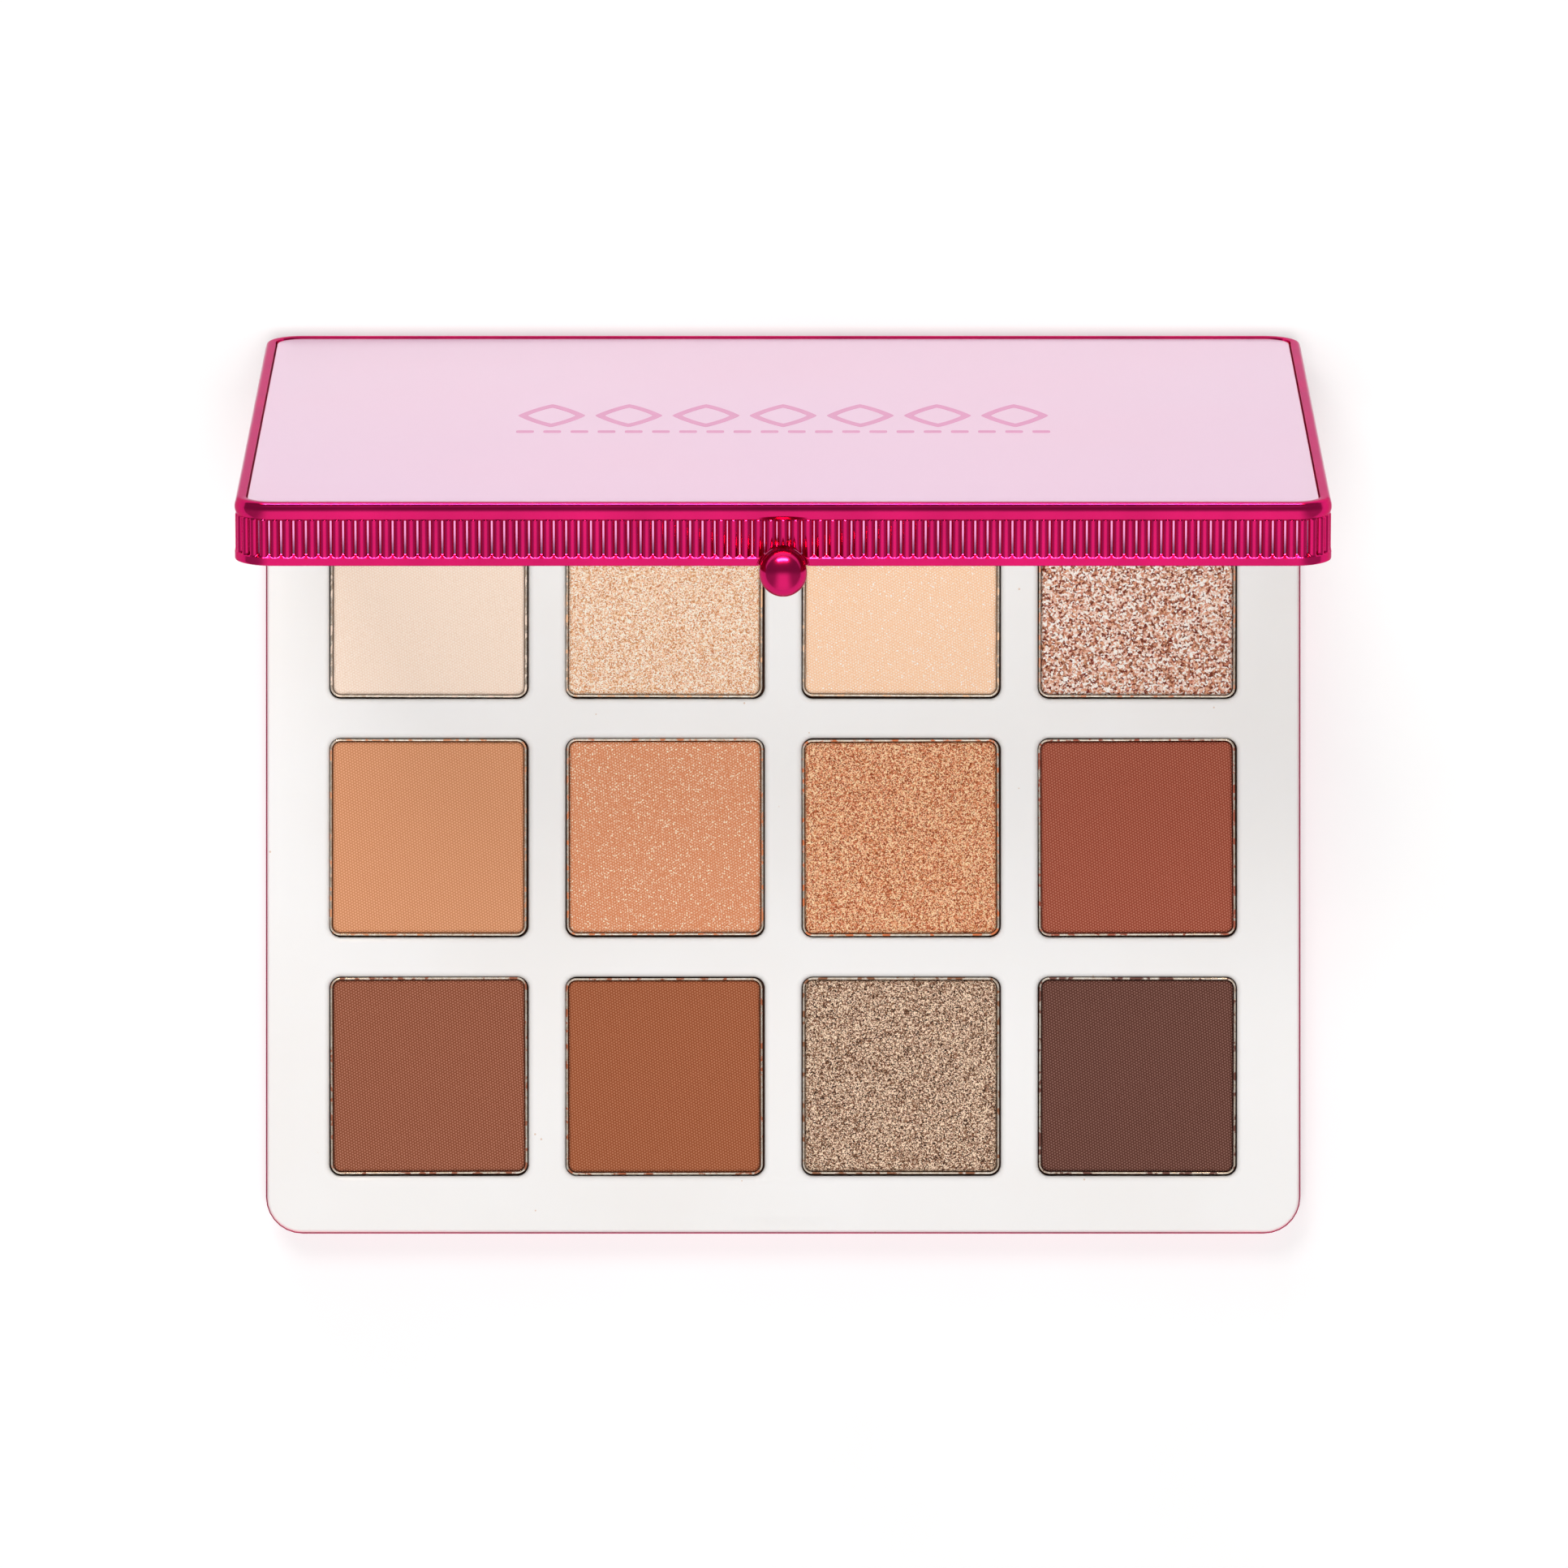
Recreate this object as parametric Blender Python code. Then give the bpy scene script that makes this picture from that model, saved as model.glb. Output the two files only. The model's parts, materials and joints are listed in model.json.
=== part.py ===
"""Twelve-pan eyeshadow palette with a hinged mirror lid, modelled with the lid standing open.

World frame: the origin is the centre of the underside, +Z is up, the hinge is at +Y and the clasp at -Y.
Every length below is in millimetres and every angle in degrees. Meshes are written in metres.
"""

import math

import bpy
import numpy as np

MM = 0.001

# Whole case
WIDTH = 127.0
DEPTH = 101.6
CORNER_R = 4.5
CLOSED_GAP = 0.3
FIT_GAP = 0.1
CORNER_STEPS = 7

# Base shell
BASE_H = 8.0
FLOOR_T = 1.5
WALL_T = 1.5
LIP_T = 0.25
LIP_ROUND = 0.12
REAR_LIP_T = 1.6
FOOT_ROUND = 1.2
LEDGE_Z = 6.4
REAR_ROUND = 1.3

# Pan tray
DECK_Z = 7.9
DECK_T = 1.4
DECK_ROUND = 0.5
COLUMN_PITCH = 29.0
ROW_PITCH = 29.3
FRONT_ROW_Y = -31.5
COLUMNS = 4
ROWS = 3
WELL_HALF = 12.35
WELL_R = 1.5
WELL_FLOOR_Z = 4.0
WELL_ROUND = 0.7
CUP_WALL = 0.8
CUP_FLOOR_T = 1.0
PUSH_HOLE_R = 2.0
CATCH_R = 1.2
CATCH_HALF_X = 7.2
CATCH_HALF_Y = 2.0
CATCH_DEPTH = 0.2
CATCH_Y = -46.8

# Tinplate pans and pressed cakes
PAN_HALF = 12.05
PAN_R = 1.25
PAN_T = 0.35
PAN_BOTTOM_Z = 4.1
PAN_RIM_Z = 7.7
PAN_FOOT_ROUND = 0.3
CAKE_GAP = 0.06
CAKE_BOTTOM_GAP = 0.05
CAKE_TOP_Z = 7.45
CAKE_ROUND = 0.5
CAKE_TOP_R = 0.3
PAN_SHIFT = 0.11
PAN_TURN = 0.35

# Hinge
HINGE_IN = 1.6
HINGE_Y = DEPTH / 2 - HINGE_IN
HINGE_Z = BASE_H - 2.6
REST_OPEN = 77.0
LARGEST_OPEN = 118.0
KNUCKLE_R = 1.6
KNUCKLE_MID_X = 47.0
KNUCKLE_W = 13.4
WEB_INSET = 0.04
WEB_EMBED = 0.6
NOTCH_W = 14.0
NOTCH_CLEAR = 0.25
PIN_R = 0.6
BORE_R = 0.66
PIN_INNER_X = 37.0
PIN_OUTER_X = 62.0
BOSS_INNER_X = 35.0
BOSS_OUTER_X = 60.5
BOSS_FRONT_Y = 47.0
BOSS_TOP_Z = 6.3
BOSS_EMBED = 0.6

# Lid, in its closed position
LID_H = 7.4
LID_BOTTOM_Z = BASE_H + CLOSED_GAP
LID_TOP_Z = LID_BOTTOM_Z + LID_H
LID_WALL_T = 1.6
LID_RIM_W = 1.35
LID_RECESS = 1.2
LID_PLATE_T = 1.2
LID_TOP_ROUND = 0.5
LID_EDGE_BEVEL = 0.15
RIB_COUNT = 314
RIB_TOP_Z = LID_TOP_Z - 1.95
RIB_BOTTOM_Z = LID_BOTTOM_Z + 0.95
RIB_BAND_IN = 0.1
GROOVE_DEPTH = 0.55
GROOVE_HALF_W = 0.5
PANEL_GAP = 0.15
PANEL_T = 0.95
PANEL_BEVEL = 0.12

# Mirror stack
LINER_FACE_Z = 10.2
LINER_T = 1.0
LINER_GAP = 0.15
LINER_ROUND = 0.3
MIRROR_HALF_X = 56.0
MIRROR_HALF_Y = 43.0
MIRROR_R = 2.5
MIRROR_T = 1.6
MIRROR_SINK = 0.1
MIRROR_GAP = 0.3
MIRROR_GRIND = 0.2
TAPE_IN = 4.0
TAPE_W = 8.0
TAPE_T = 0.2
TAPE_R = 2.0
TAPE_GAP = 0.02

# Clasp ball
BALL_R = 2.75
BALL_OUT = 3.05
BALL_Z = LID_BOTTOM_Z - 0.12
SEAT_R = 2.93
SEAT_Z = LID_BOTTOM_Z - 0.58
SEAT_DEPTH = 0.65
STEM_R = 0.9
STEM_HOLE_R = 0.98
STEM_Z = LID_BOTTOM_Z + 1.3
STEM_END_GAP = 0.02
BALL_SEGMENTS = 40
BALL_RINGS = 20

# Closure magnets
MAGNET_X = 12.0
MAGNET_Y = 2.8
MAGNET_T = 1.5
MAGNET_GAP = 0.15
MAGNET_Z = 4.8
MAGNET_BED_WALL = 0.35
MAGNET_BEVEL = 0.15
LID_MAGNET_Z = 10.9

# Colours as linear RGB
MAGENTA = (0.60, 0.01, 0.17)
PALE_PINK = (0.86, 0.66, 0.79)
WHITE = (0.84, 0.82, 0.80)
TINPLATE = (0.62, 0.60, 0.57)
STEEL = (0.55, 0.55, 0.56)
NICKEL = (0.55, 0.53, 0.50)
MIRROR_GREY = (0.85, 0.87, 0.88)
TAPE_WHITE = (0.75, 0.75, 0.72)
SHADES = {
    "rear_1": (0.88, 0.69, 0.58),
    "rear_2": (0.81, 0.55, 0.39),
    "rear_3": (0.93, 0.60, 0.41),
    "rear_4": (0.60, 0.36, 0.27),
    "middle_1": (0.71, 0.32, 0.17),
    "middle_2": (0.70, 0.30, 0.16),
    "middle_3": (0.64, 0.28, 0.14),
    "middle_4": (0.39, 0.11, 0.065),
    "front_1": (0.33, 0.12, 0.067),
    "front_2": (0.38, 0.12, 0.06),
    "front_3": (0.42, 0.26, 0.18),
    "front_4": (0.165, 0.07, 0.051),
}


# ---------------------------------------------------------------- scene and materials
def clear_scene():
    """Removes the startup objects."""
    for obj in list(bpy.data.objects):
        bpy.data.objects.remove(obj)


def material(name, colour, metallic=0.0, roughness=0.5):
    """One Principled material per sub-part."""
    made = bpy.data.materials.new(name)
    made.use_nodes = True
    shader = made.node_tree.nodes["Principled BSDF"]
    shader.inputs["Base Color"].default_value = (*colour, 1.0)
    shader.inputs["Metallic"].default_value = metallic
    shader.inputs["Roughness"].default_value = roughness
    made.diffuse_color = (*colour, 1.0)
    return made


def hinge_pivot():
    """The empty on the hinge axis that carries the lid. Its turn is the rest opening."""
    pivot = bpy.data.objects.new("lid_hinge", None)
    pivot.location = (0.0, HINGE_Y * MM, HINGE_Z * MM)
    pivot.rotation_euler = (math.radians(-REST_OPEN), 0.0, 0.0)
    bpy.context.scene.collection.objects.link(pivot)
    return pivot


# ---------------------------------------------------------------- mesh helpers
def add_object(name, points, faces, look=None, pivot=None):
    """A mesh object from closed-position points in millimetres, carried by the pivot if there is one."""
    origin = np.array([0.0, HINGE_Y, HINGE_Z]) if pivot else np.zeros(3)
    mesh = bpy.data.meshes.new(name)
    mesh.from_pydata(((np.asarray(points, float) - origin) * MM).tolist(), [], faces)
    mesh.validate()
    mesh.update()
    obj = bpy.data.objects.new(name, mesh)
    bpy.context.scene.collection.objects.link(obj)
    obj.parent = pivot
    if look:
        mesh.materials.append(look)
    return obj


def add_cutter(name, points, faces, pivot=None):
    """A helper solid for a Boolean, which is no sub-part."""
    cutter = add_object(name, points, faces, None, pivot)
    cutter.hide_render = True
    cutter.display_type = "WIRE"
    return cutter


def combine(target, tool, operation):
    """Adds one exact Boolean to the target."""
    modifier = target.modifiers.new(tool.name, "BOOLEAN")
    modifier.solver = "EXACT"
    modifier.operation = operation
    modifier.object = tool


def rounded_ring(half_x, half_y, radius, steps=CORNER_STEPS):
    """Points of a rounded rectangle, counter-clockwise seen from +Z."""
    turns = np.linspace(0.0, math.pi / 2, steps + 1)
    corners = []
    for quarter, (sign_x, sign_y) in enumerate(((1, 1), (-1, 1), (-1, -1), (1, -1))):
        angle = turns + quarter * math.pi / 2
        x = sign_x * (half_x - radius) + radius * np.cos(angle)
        y = sign_y * (half_y - radius) + radius * np.sin(angle)
        corners.append(np.column_stack([x, y]))
    return np.concatenate(corners)


def loft(sections, centre=(0.0, 0.0), turn=0.0, steps=CORNER_STEPS):
    """A closed solid through rounded rectangles (half_x, half_y, radius, z), and an optional y shift."""
    turned = np.array([[math.cos(turn), math.sin(turn)], [-math.sin(turn), math.cos(turn)]])
    rings = []
    for half_x, half_y, radius, z, *shift in sections:
        ring = rounded_ring(half_x, half_y, radius, steps)
        ring[:, 1] += shift[0] if shift else 0.0
        ring = ring @ turned + np.asarray(centre)
        rings.append(np.column_stack([ring, np.full(len(ring), z)]))
    count = len(rings[0])
    faces = [list(range(count))[::-1]]
    for level in range(len(rings) - 1):
        low = level * count
        for i in range(count):
            j = (i + 1) % count
            faces.append([low + i, low + j, low + count + j, low + count + i])
    last = (len(rings) - 1) * count
    faces.append(list(range(last, last + count)))
    return np.concatenate(rings), faces


def extrude_along_x(profile, low_x, high_x):
    """A prism along X. The profile is (y, z) points, counter-clockwise seen from +X."""
    profile = np.asarray(profile, float)
    count = len(profile)
    near = np.column_stack([np.full(count, low_x), profile])
    far = np.column_stack([np.full(count, high_x), profile])
    faces = [list(range(count))[::-1], list(range(count, 2 * count))]
    for i in range(count):
        j = (i + 1) % count
        faces.append([i, j, count + j, count + i])
    return np.concatenate([near, far]), faces


def block(low, high):
    """A plain box between two corners."""
    profile = [(low[1], low[2]), (high[1], low[2]), (high[1], high[2]), (low[1], high[2])]
    return extrude_along_x(profile, low[0], high[0])


def rod_along(axis, centre, radius, low, high, segments=32):
    """A cylinder along X, Y or Z between two stations, through the centre's other two coordinates."""
    angle = np.linspace(0.0, 2 * math.pi, segments, endpoint=False)
    u = radius * np.cos(angle)
    v = radius * np.sin(angle)
    first, second = {"x": (1, 2), "y": (2, 0), "z": (0, 1)}[axis]
    along = "xyz".index(axis)
    ends = []
    for station in (low, high):
        ring = np.zeros((segments, 3))
        ring[:, first] = centre[first] + u
        ring[:, second] = centre[second] + v
        ring[:, along] = station
        ends.append(ring)
    faces = [list(range(segments))[::-1], list(range(segments, 2 * segments))]
    for i in range(segments):
        j = (i + 1) % segments
        faces.append([i, j, segments + j, segments + i])
    return np.concatenate(ends), faces


def joined(solids):
    """One mesh holding several separate closed solids."""
    points = []
    faces = []
    start = 0
    for solid_points, solid_faces in solids:
        points.append(solid_points)
        faces += [[index + start for index in face] for face in solid_faces]
        start += len(solid_points)
    return np.concatenate(points), faces


def quarter_round(radius, steps):
    """(inset, drop) pairs over a rounded edge, from the side up to the flat top."""
    angle = np.linspace(0.0, math.pi / 2, steps + 1)
    return [(radius * (1 - math.cos(a)), radius * (1 - math.sin(a))) for a in angle]


# ---------------------------------------------------------------- base
def case_ring(inset, z, shift=0.0, half_y_loss=0.0):
    """A section of the case outline, drawn in by the inset."""
    half_y = DEPTH / 2 - inset - half_y_loss
    return (WIDTH / 2 - inset, half_y, max(CORNER_R - inset, 0.8), z, shift)


def rear_rounding_profile():
    """The sliver over the base's top rear edge that is cut away, so that the lid can swing past it."""
    rear = DEPTH / 2
    over = 1.0
    arc = [(rear - inset, BASE_H - drop) for inset, drop in quarter_round(REAR_ROUND, 6)]
    outside = [
        (rear - REAR_ROUND, BASE_H + over),
        (rear + over, BASE_H + over),
        (rear + over, BASE_H - REAR_ROUND),
    ]
    return (arc + outside)[::-1]


def notch_profile():
    """The knuckle's swept room: a round seat about the axis, open to the top and sloping down to the rear."""
    radius = KNUCKLE_R + NOTCH_CLEAR
    lowest = math.radians(LARGEST_OPEN - 90.0)
    angle = np.linspace(math.pi, 1.5 * math.pi - lowest, 9)
    arc = [(HINGE_Y + radius * math.cos(a), HINGE_Z + radius * math.sin(a)) for a in angle]
    reach = 3.0
    tangent = (math.cos(lowest), -math.sin(lowest))
    low_y = arc[-1][0] + reach * 1.5 * tangent[0]
    low_z = arc[-1][1] + reach * 1.5 * tangent[1]
    top = BASE_H + reach
    return arc + [(low_y, low_z), (low_y, top), (HINGE_Y - radius, top)]


def notch_cutter(name):
    """Both knuckle notches."""
    half = NOTCH_W / 2
    left = extrude_along_x(notch_profile(), -KNUCKLE_MID_X - half, -KNUCKLE_MID_X + half)
    right = extrude_along_x(notch_profile(), KNUCKLE_MID_X - half, KNUCKLE_MID_X + half)
    return add_cutter(name, *joined([left, right]))


def make_base_shell():
    """The base's outer tray: floor, walls, the thin lip round the pan tray, hinge bosses and magnet bed."""
    foot = [case_ring(inset, drop) for inset, drop in reversed(quarter_round(FOOT_ROUND, 4))]
    rear_loss = (REAR_LIP_T - LIP_T) / 2
    sections = foot + [
        case_ring(0.0, BASE_H - LIP_ROUND),
        case_ring(LIP_ROUND, BASE_H),
        case_ring(LIP_T, BASE_H, -rear_loss, rear_loss),
        case_ring(LIP_T, LEDGE_Z, -rear_loss, rear_loss),
        case_ring(WALL_T, LEDGE_Z),
        case_ring(WALL_T, FLOOR_T),
    ]
    shell = add_object("base_shell", *loft(sections), material("base_metallised", MAGENTA, 0.9, 0.25))
    bosses = []
    for side in (-1, 1):
        near, far = sorted((side * BOSS_INNER_X, side * BOSS_OUTER_X))
        rear = DEPTH / 2 - WALL_T + BOSS_EMBED
        bosses.append(block((near, BOSS_FRONT_Y, FLOOR_T - BOSS_EMBED), (far, rear, BOSS_TOP_Z)))
    bed_x = MAGNET_X / 2 + MAGNET_GAP + MAGNET_BED_WALL
    bed_y = MAGNET_Y / 2 + MAGNET_GAP + MAGNET_BED_WALL
    bosses.append(
        block((-bed_x, CATCH_Y - bed_y, FLOOR_T - BOSS_EMBED), (bed_x, CATCH_Y + bed_y, MAGNET_Z + 1.0))
    )
    combine(shell, add_cutter("shell_bosses", *joined(bosses)), "UNION")
    rear_edge = extrude_along_x(rear_rounding_profile(), -WIDTH, WIDTH)
    combine(shell, add_cutter("rear_edge_round", *rear_edge), "DIFFERENCE")
    combine(shell, notch_cutter("shell_notches"), "DIFFERENCE")
    bores = []
    for side in (-1, 1):
        near, far = sorted((side * (PIN_INNER_X - 0.2), side * WIDTH))
        bores.append(rod_along("x", (0.0, HINGE_Y, HINGE_Z), BORE_R, near, far))
    pocket_x = MAGNET_X / 2 + MAGNET_GAP
    pocket_y = MAGNET_Y / 2 + MAGNET_GAP
    bores.append(
        block(
            (-pocket_x, CATCH_Y - pocket_y, MAGNET_Z - FIT_GAP),
            (pocket_x, CATCH_Y + pocket_y, MAGNET_Z + MAGNET_T + 1.0),
        )
    )
    combine(shell, add_cutter("shell_bores", *joined(bores)), "DIFFERENCE")
    return shell


def pan_centres():
    """Name, centre and small turn of each pan. A glued pan never sits quite square, so each is a hair off."""
    rows = ("rear", "middle", "front")
    found = []
    for row, row_name in enumerate(rows):
        for column in range(COLUMNS):
            number = row * COLUMNS + column + 1
            x = (column - (COLUMNS - 1) / 2) * COLUMN_PITCH + PAN_SHIFT * math.sin(2.3 * number)
            y = FRONT_ROW_Y + (ROWS - 1 - row) * ROW_PITCH + PAN_SHIFT * math.cos(4.1 * number)
            turn = math.radians(PAN_TURN) * math.sin(5.7 * number)
            found.append((f"{row_name}_{column + 1}", (x, y), turn))
    return found


def well_centres():
    """The centre of each well, on a true grid."""
    return [
        ((column - (COLUMNS - 1) / 2) * COLUMN_PITCH, FRONT_ROW_Y + row * ROW_PITCH)
        for row in range(ROWS)
        for column in range(COLUMNS)
    ]


def make_pan_tray():
    """The white insert: a flat deck with twelve cups below it, whose mouths are rounded over."""
    inset = LIP_T + FIT_GAP
    rear_loss = (REAR_LIP_T - LIP_T) / 2
    under = DECK_Z - DECK_T
    deck = [case_ring(inset, under, -rear_loss, rear_loss)]
    for x, drop in quarter_round(DECK_ROUND, 2):
        deck.append(case_ring(inset + x, DECK_Z - drop, -rear_loss, rear_loss))
    tray = add_object("pan_tray", *loft(deck), material("tray_white", WHITE, 0.0, 0.3))
    cup_low = WELL_FLOOR_Z - CUP_FLOOR_T
    cup_outline = (WELL_HALF + CUP_WALL, WELL_HALF + CUP_WALL, WELL_R + CUP_WALL)
    cup = [(*cup_outline, cup_low), (*cup_outline, under + DECK_T / 2)]
    cups = joined([loft(cup, centre, steps=3) for centre in well_centres()])
    combine(tray, add_cutter("tray_cups", *cups), "UNION")
    mouth = [
        (WELL_HALF + out, WELL_HALF + out, WELL_R + out, DECK_Z - drop)
        for out, drop in quarter_round(WELL_ROUND, 4)
    ]
    widest = WELL_HALF + WELL_ROUND
    floor = [(WELL_HALF, WELL_HALF, WELL_R, WELL_FLOOR_Z)]
    above = [(widest, widest, WELL_R + WELL_ROUND, DECK_Z + 1.0)]
    wells = joined([loft(floor + mouth + above, centre, steps=4) for centre in well_centres()])
    combine(tray, add_cutter("tray_wells", *wells), "DIFFERENCE")
    holes = [
        rod_along("z", (x, y, 0.0), PUSH_HOLE_R, cup_low - 1.0, WELL_FLOOR_Z + 1.0, 16)
        for x, y in well_centres()
    ]
    catch_mouth = (CATCH_HALF_X + CATCH_DEPTH, CATCH_HALF_Y + CATCH_DEPTH, CATCH_R + CATCH_DEPTH)
    catch = [
        (CATCH_HALF_X, CATCH_HALF_Y, CATCH_R, DECK_Z - CATCH_DEPTH),
        (*catch_mouth, DECK_Z),
        (*catch_mouth, DECK_Z + 1.0),
    ]
    holes.append(loft(catch, (0.0, CATCH_Y), steps=4))
    combine(tray, add_cutter("tray_holes", *joined(holes)), "DIFFERENCE")
    combine(tray, notch_cutter("tray_notches"), "DIFFERENCE")
    return tray


def make_pan(name, centre, turn, tin):
    """A drawn tinplate pan with a flat floor and a plain square rim."""
    inner = PAN_HALF - PAN_T
    inner_r = PAN_R - PAN_T
    foot = PAN_HALF - PAN_FOOT_ROUND
    sections = [
        (foot, foot, PAN_R - PAN_FOOT_ROUND, PAN_BOTTOM_Z),
        (PAN_HALF, PAN_HALF, PAN_R, PAN_BOTTOM_Z + PAN_FOOT_ROUND),
        (PAN_HALF, PAN_HALF, PAN_R, PAN_RIM_Z),
        (inner, inner, inner_r, PAN_RIM_Z),
        (inner, inner, inner_r, PAN_BOTTOM_Z + PAN_T),
    ]
    return add_object(f"pan_{name}", *loft(sections, centre, turn, 4), tin)


def make_cake(name, centre, turn, colour):
    """A pressed powder cake with a softened shoulder, filling its pan to just below the rim."""
    half = PAN_HALF - PAN_T - CAKE_GAP
    radius = PAN_R - PAN_T - CAKE_GAP
    sections = [
        (half, half, radius, PAN_BOTTOM_Z + PAN_T + CAKE_BOTTOM_GAP),
        (half, half, radius, CAKE_TOP_Z - CAKE_ROUND),
    ]
    for inset, drop in quarter_round(CAKE_ROUND, 3)[1:]:
        sections.append((half - inset, half - inset, max(radius - inset, CAKE_TOP_R), CAKE_TOP_Z - drop))
    look = material(f"powder_{name}", colour, 0.0, 0.85)
    return add_object(f"cake_{name}", *loft(sections, centre, turn, 4), look)


def make_magnet(name, z, pivot=None):
    """A nickel-plated bar magnet with slightly broken edges."""
    half_x = MAGNET_X / 2
    half_y = MAGNET_Y / 2
    face = (half_x - MAGNET_BEVEL, half_y - MAGNET_BEVEL, MAGNET_BEVEL)
    body = (half_x, half_y, 2 * MAGNET_BEVEL)
    sections = [
        (*face, z),
        (*body, z + MAGNET_BEVEL),
        (*body, z + MAGNET_T - MAGNET_BEVEL),
        (*face, z + MAGNET_T),
    ]
    look = bpy.data.materials.get("magnet_nickel") or material("magnet_nickel", NICKEL, 1.0, 0.3)
    return add_object(name, *loft(sections, (0.0, CATCH_Y), steps=2), look, pivot)


def make_hinge_pin(side_name, side, steel):
    """A plain steel pin pushed in from the case's side, through the lid's knuckle."""
    near, far = sorted((side * PIN_INNER_X, side * PIN_OUTER_X))
    pin = rod_along("x", (0.0, HINGE_Y, HINGE_Z), PIN_R, near, far)
    return add_object(f"hinge_pin_{side_name}", *pin, steel)


# ---------------------------------------------------------------- lid
def outline_stations(count, inset, shift):
    """Points, outward normals and tangents at even steps round the case outline, from the front's middle."""
    half_x = WIDTH / 2 - inset
    half_y = DEPTH / 2 - inset
    radius = CORNER_R - inset
    straight_x = 2 * (half_x - radius)
    straight_y = 2 * (half_y - radius)
    arc = radius * math.pi / 2
    length = 2 * (straight_x + straight_y) + 4 * arc
    found = []
    for index in range(count):
        s = (index + shift) * length / count + straight_x / 2
        side = -90.0
        start = np.array([-(half_x - radius), -half_y])
        for straight in (straight_x, straight_y, straight_x, straight_y, straight_x):
            out = np.array([math.cos(math.radians(side)), math.sin(math.radians(side))])
            along = np.array([-out[1], out[0]])
            if s <= straight:
                found.append((start + s * along, out, along))
                break
            s -= straight
            centre = start + straight * along - radius * out
            if s <= arc:
                angle = math.radians(side) + s / radius
                out = np.array([math.cos(angle), math.sin(angle)])
                found.append((centre + radius * out, out, np.array([-out[1], out[0]])))
                break
            s -= arc
            side += 90.0
            out = np.array([math.cos(math.radians(side)), math.sin(math.radians(side))])
            start = centre + radius * out
    return found


def groove(point, out, along):
    """The V between two ribs, with a foot that slopes out on to the lower lip."""
    surface = RIB_BAND_IN
    outside = surface - 4 * RIB_BAND_IN
    profile = [
        (-GROOVE_HALF_W, outside),
        (GROOVE_HALF_W, outside),
        (GROOVE_HALF_W, surface),
        (0.0, surface + GROOVE_DEPTH),
        (-GROOVE_HALF_W, surface),
    ]
    top = []
    bottom = []
    for across, depth in profile:
        x, y = point + across * along - depth * out
        top.append((x, y, RIB_TOP_Z))
        bottom.append((x, y, RIB_BOTTOM_Z + max(depth - surface, 0.0)))
    faces = [[0, 1, 2, 3, 4], [9, 8, 7, 6, 5]]
    for i in range(5):
        j = (i + 1) % 5
        faces.append([i, 5 + i, 5 + j, j])
    return np.array(top + bottom), faces


def lid_sections():
    """Down the inside, round the bottom edge, up the ribbed side, over the rim and into the panel recess."""
    ceiling = LID_TOP_Z - LID_RECESS - LID_PLATE_T
    rim = [case_ring(inset, LID_TOP_Z - drop) for inset, drop in quarter_round(LID_TOP_ROUND, 4)]
    return [
        case_ring(LID_WALL_T, ceiling),
        case_ring(LID_WALL_T, LID_BOTTOM_Z),
        case_ring(LID_EDGE_BEVEL, LID_BOTTOM_Z),
        case_ring(0.0, LID_BOTTOM_Z + LID_EDGE_BEVEL),
        case_ring(0.0, RIB_BOTTOM_Z),
        case_ring(RIB_BAND_IN, RIB_BOTTOM_Z),
        case_ring(RIB_BAND_IN, RIB_TOP_Z),
        case_ring(0.0, RIB_TOP_Z),
        *rim,
        case_ring(LID_RIM_W, LID_TOP_Z),
        case_ring(LID_RIM_W, LID_TOP_Z - LID_RECESS),
    ]


def knuckle_profile():
    """A round barrel about the axis with a flat web that rises into the lid's rear wall."""
    web_rear = KNUCKLE_R - WEB_INSET
    web_top = LID_BOTTOM_Z + WEB_EMBED
    first = math.acos(WEB_INSET / KNUCKLE_R)
    last = 2 * math.pi - math.acos(web_rear / KNUCKLE_R)
    angle = np.linspace(first, last, 25)
    arc = [(HINGE_Y + KNUCKLE_R * math.cos(a), HINGE_Z + KNUCKLE_R * math.sin(a)) for a in angle]
    return arc + [(HINGE_Y + web_rear, web_top), (HINGE_Y + WEB_INSET, web_top)]


def make_lid_frame(pivot):
    """The ribbed metallised lid: side walls, rim, panel floor and two hinge knuckles, in one moulding."""
    frame = add_object(
        "lid_frame", *loft(lid_sections()), material("lid_metallised", MAGENTA, 0.9, 0.22), pivot
    )
    half = KNUCKLE_W / 2
    knuckles = [
        extrude_along_x(knuckle_profile(), side * KNUCKLE_MID_X - half, side * KNUCKLE_MID_X + half)
        for side in (-1, 1)
    ]
    combine(frame, add_cutter("lid_knuckles", *joined(knuckles), pivot), "UNION")
    grooves = [groove(*station) for station in outline_stations(RIB_COUNT, 0.0, 0.5)]
    combine(frame, add_cutter("lid_grooves", *joined(grooves), pivot), "DIFFERENCE")
    front = -DEPTH / 2
    cuts = [
        rod_along("y", (0.0, 0.0, SEAT_Z), SEAT_R, front - 1.0, front + SEAT_DEPTH, 40),
        rod_along("x", (0.0, HINGE_Y, HINGE_Z), BORE_R, -PIN_OUTER_X, PIN_OUTER_X),
    ]
    combine(frame, add_cutter("lid_cuts", *joined(cuts), pivot), "DIFFERENCE")
    hole = rod_along("y", (0.0, 0.0, STEM_Z), STEM_HOLE_R, front - 1.0, front + LID_WALL_T + 0.5, 24)
    combine(frame, add_cutter("lid_stem_hole", *hole, pivot), "DIFFERENCE")
    return frame


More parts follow.
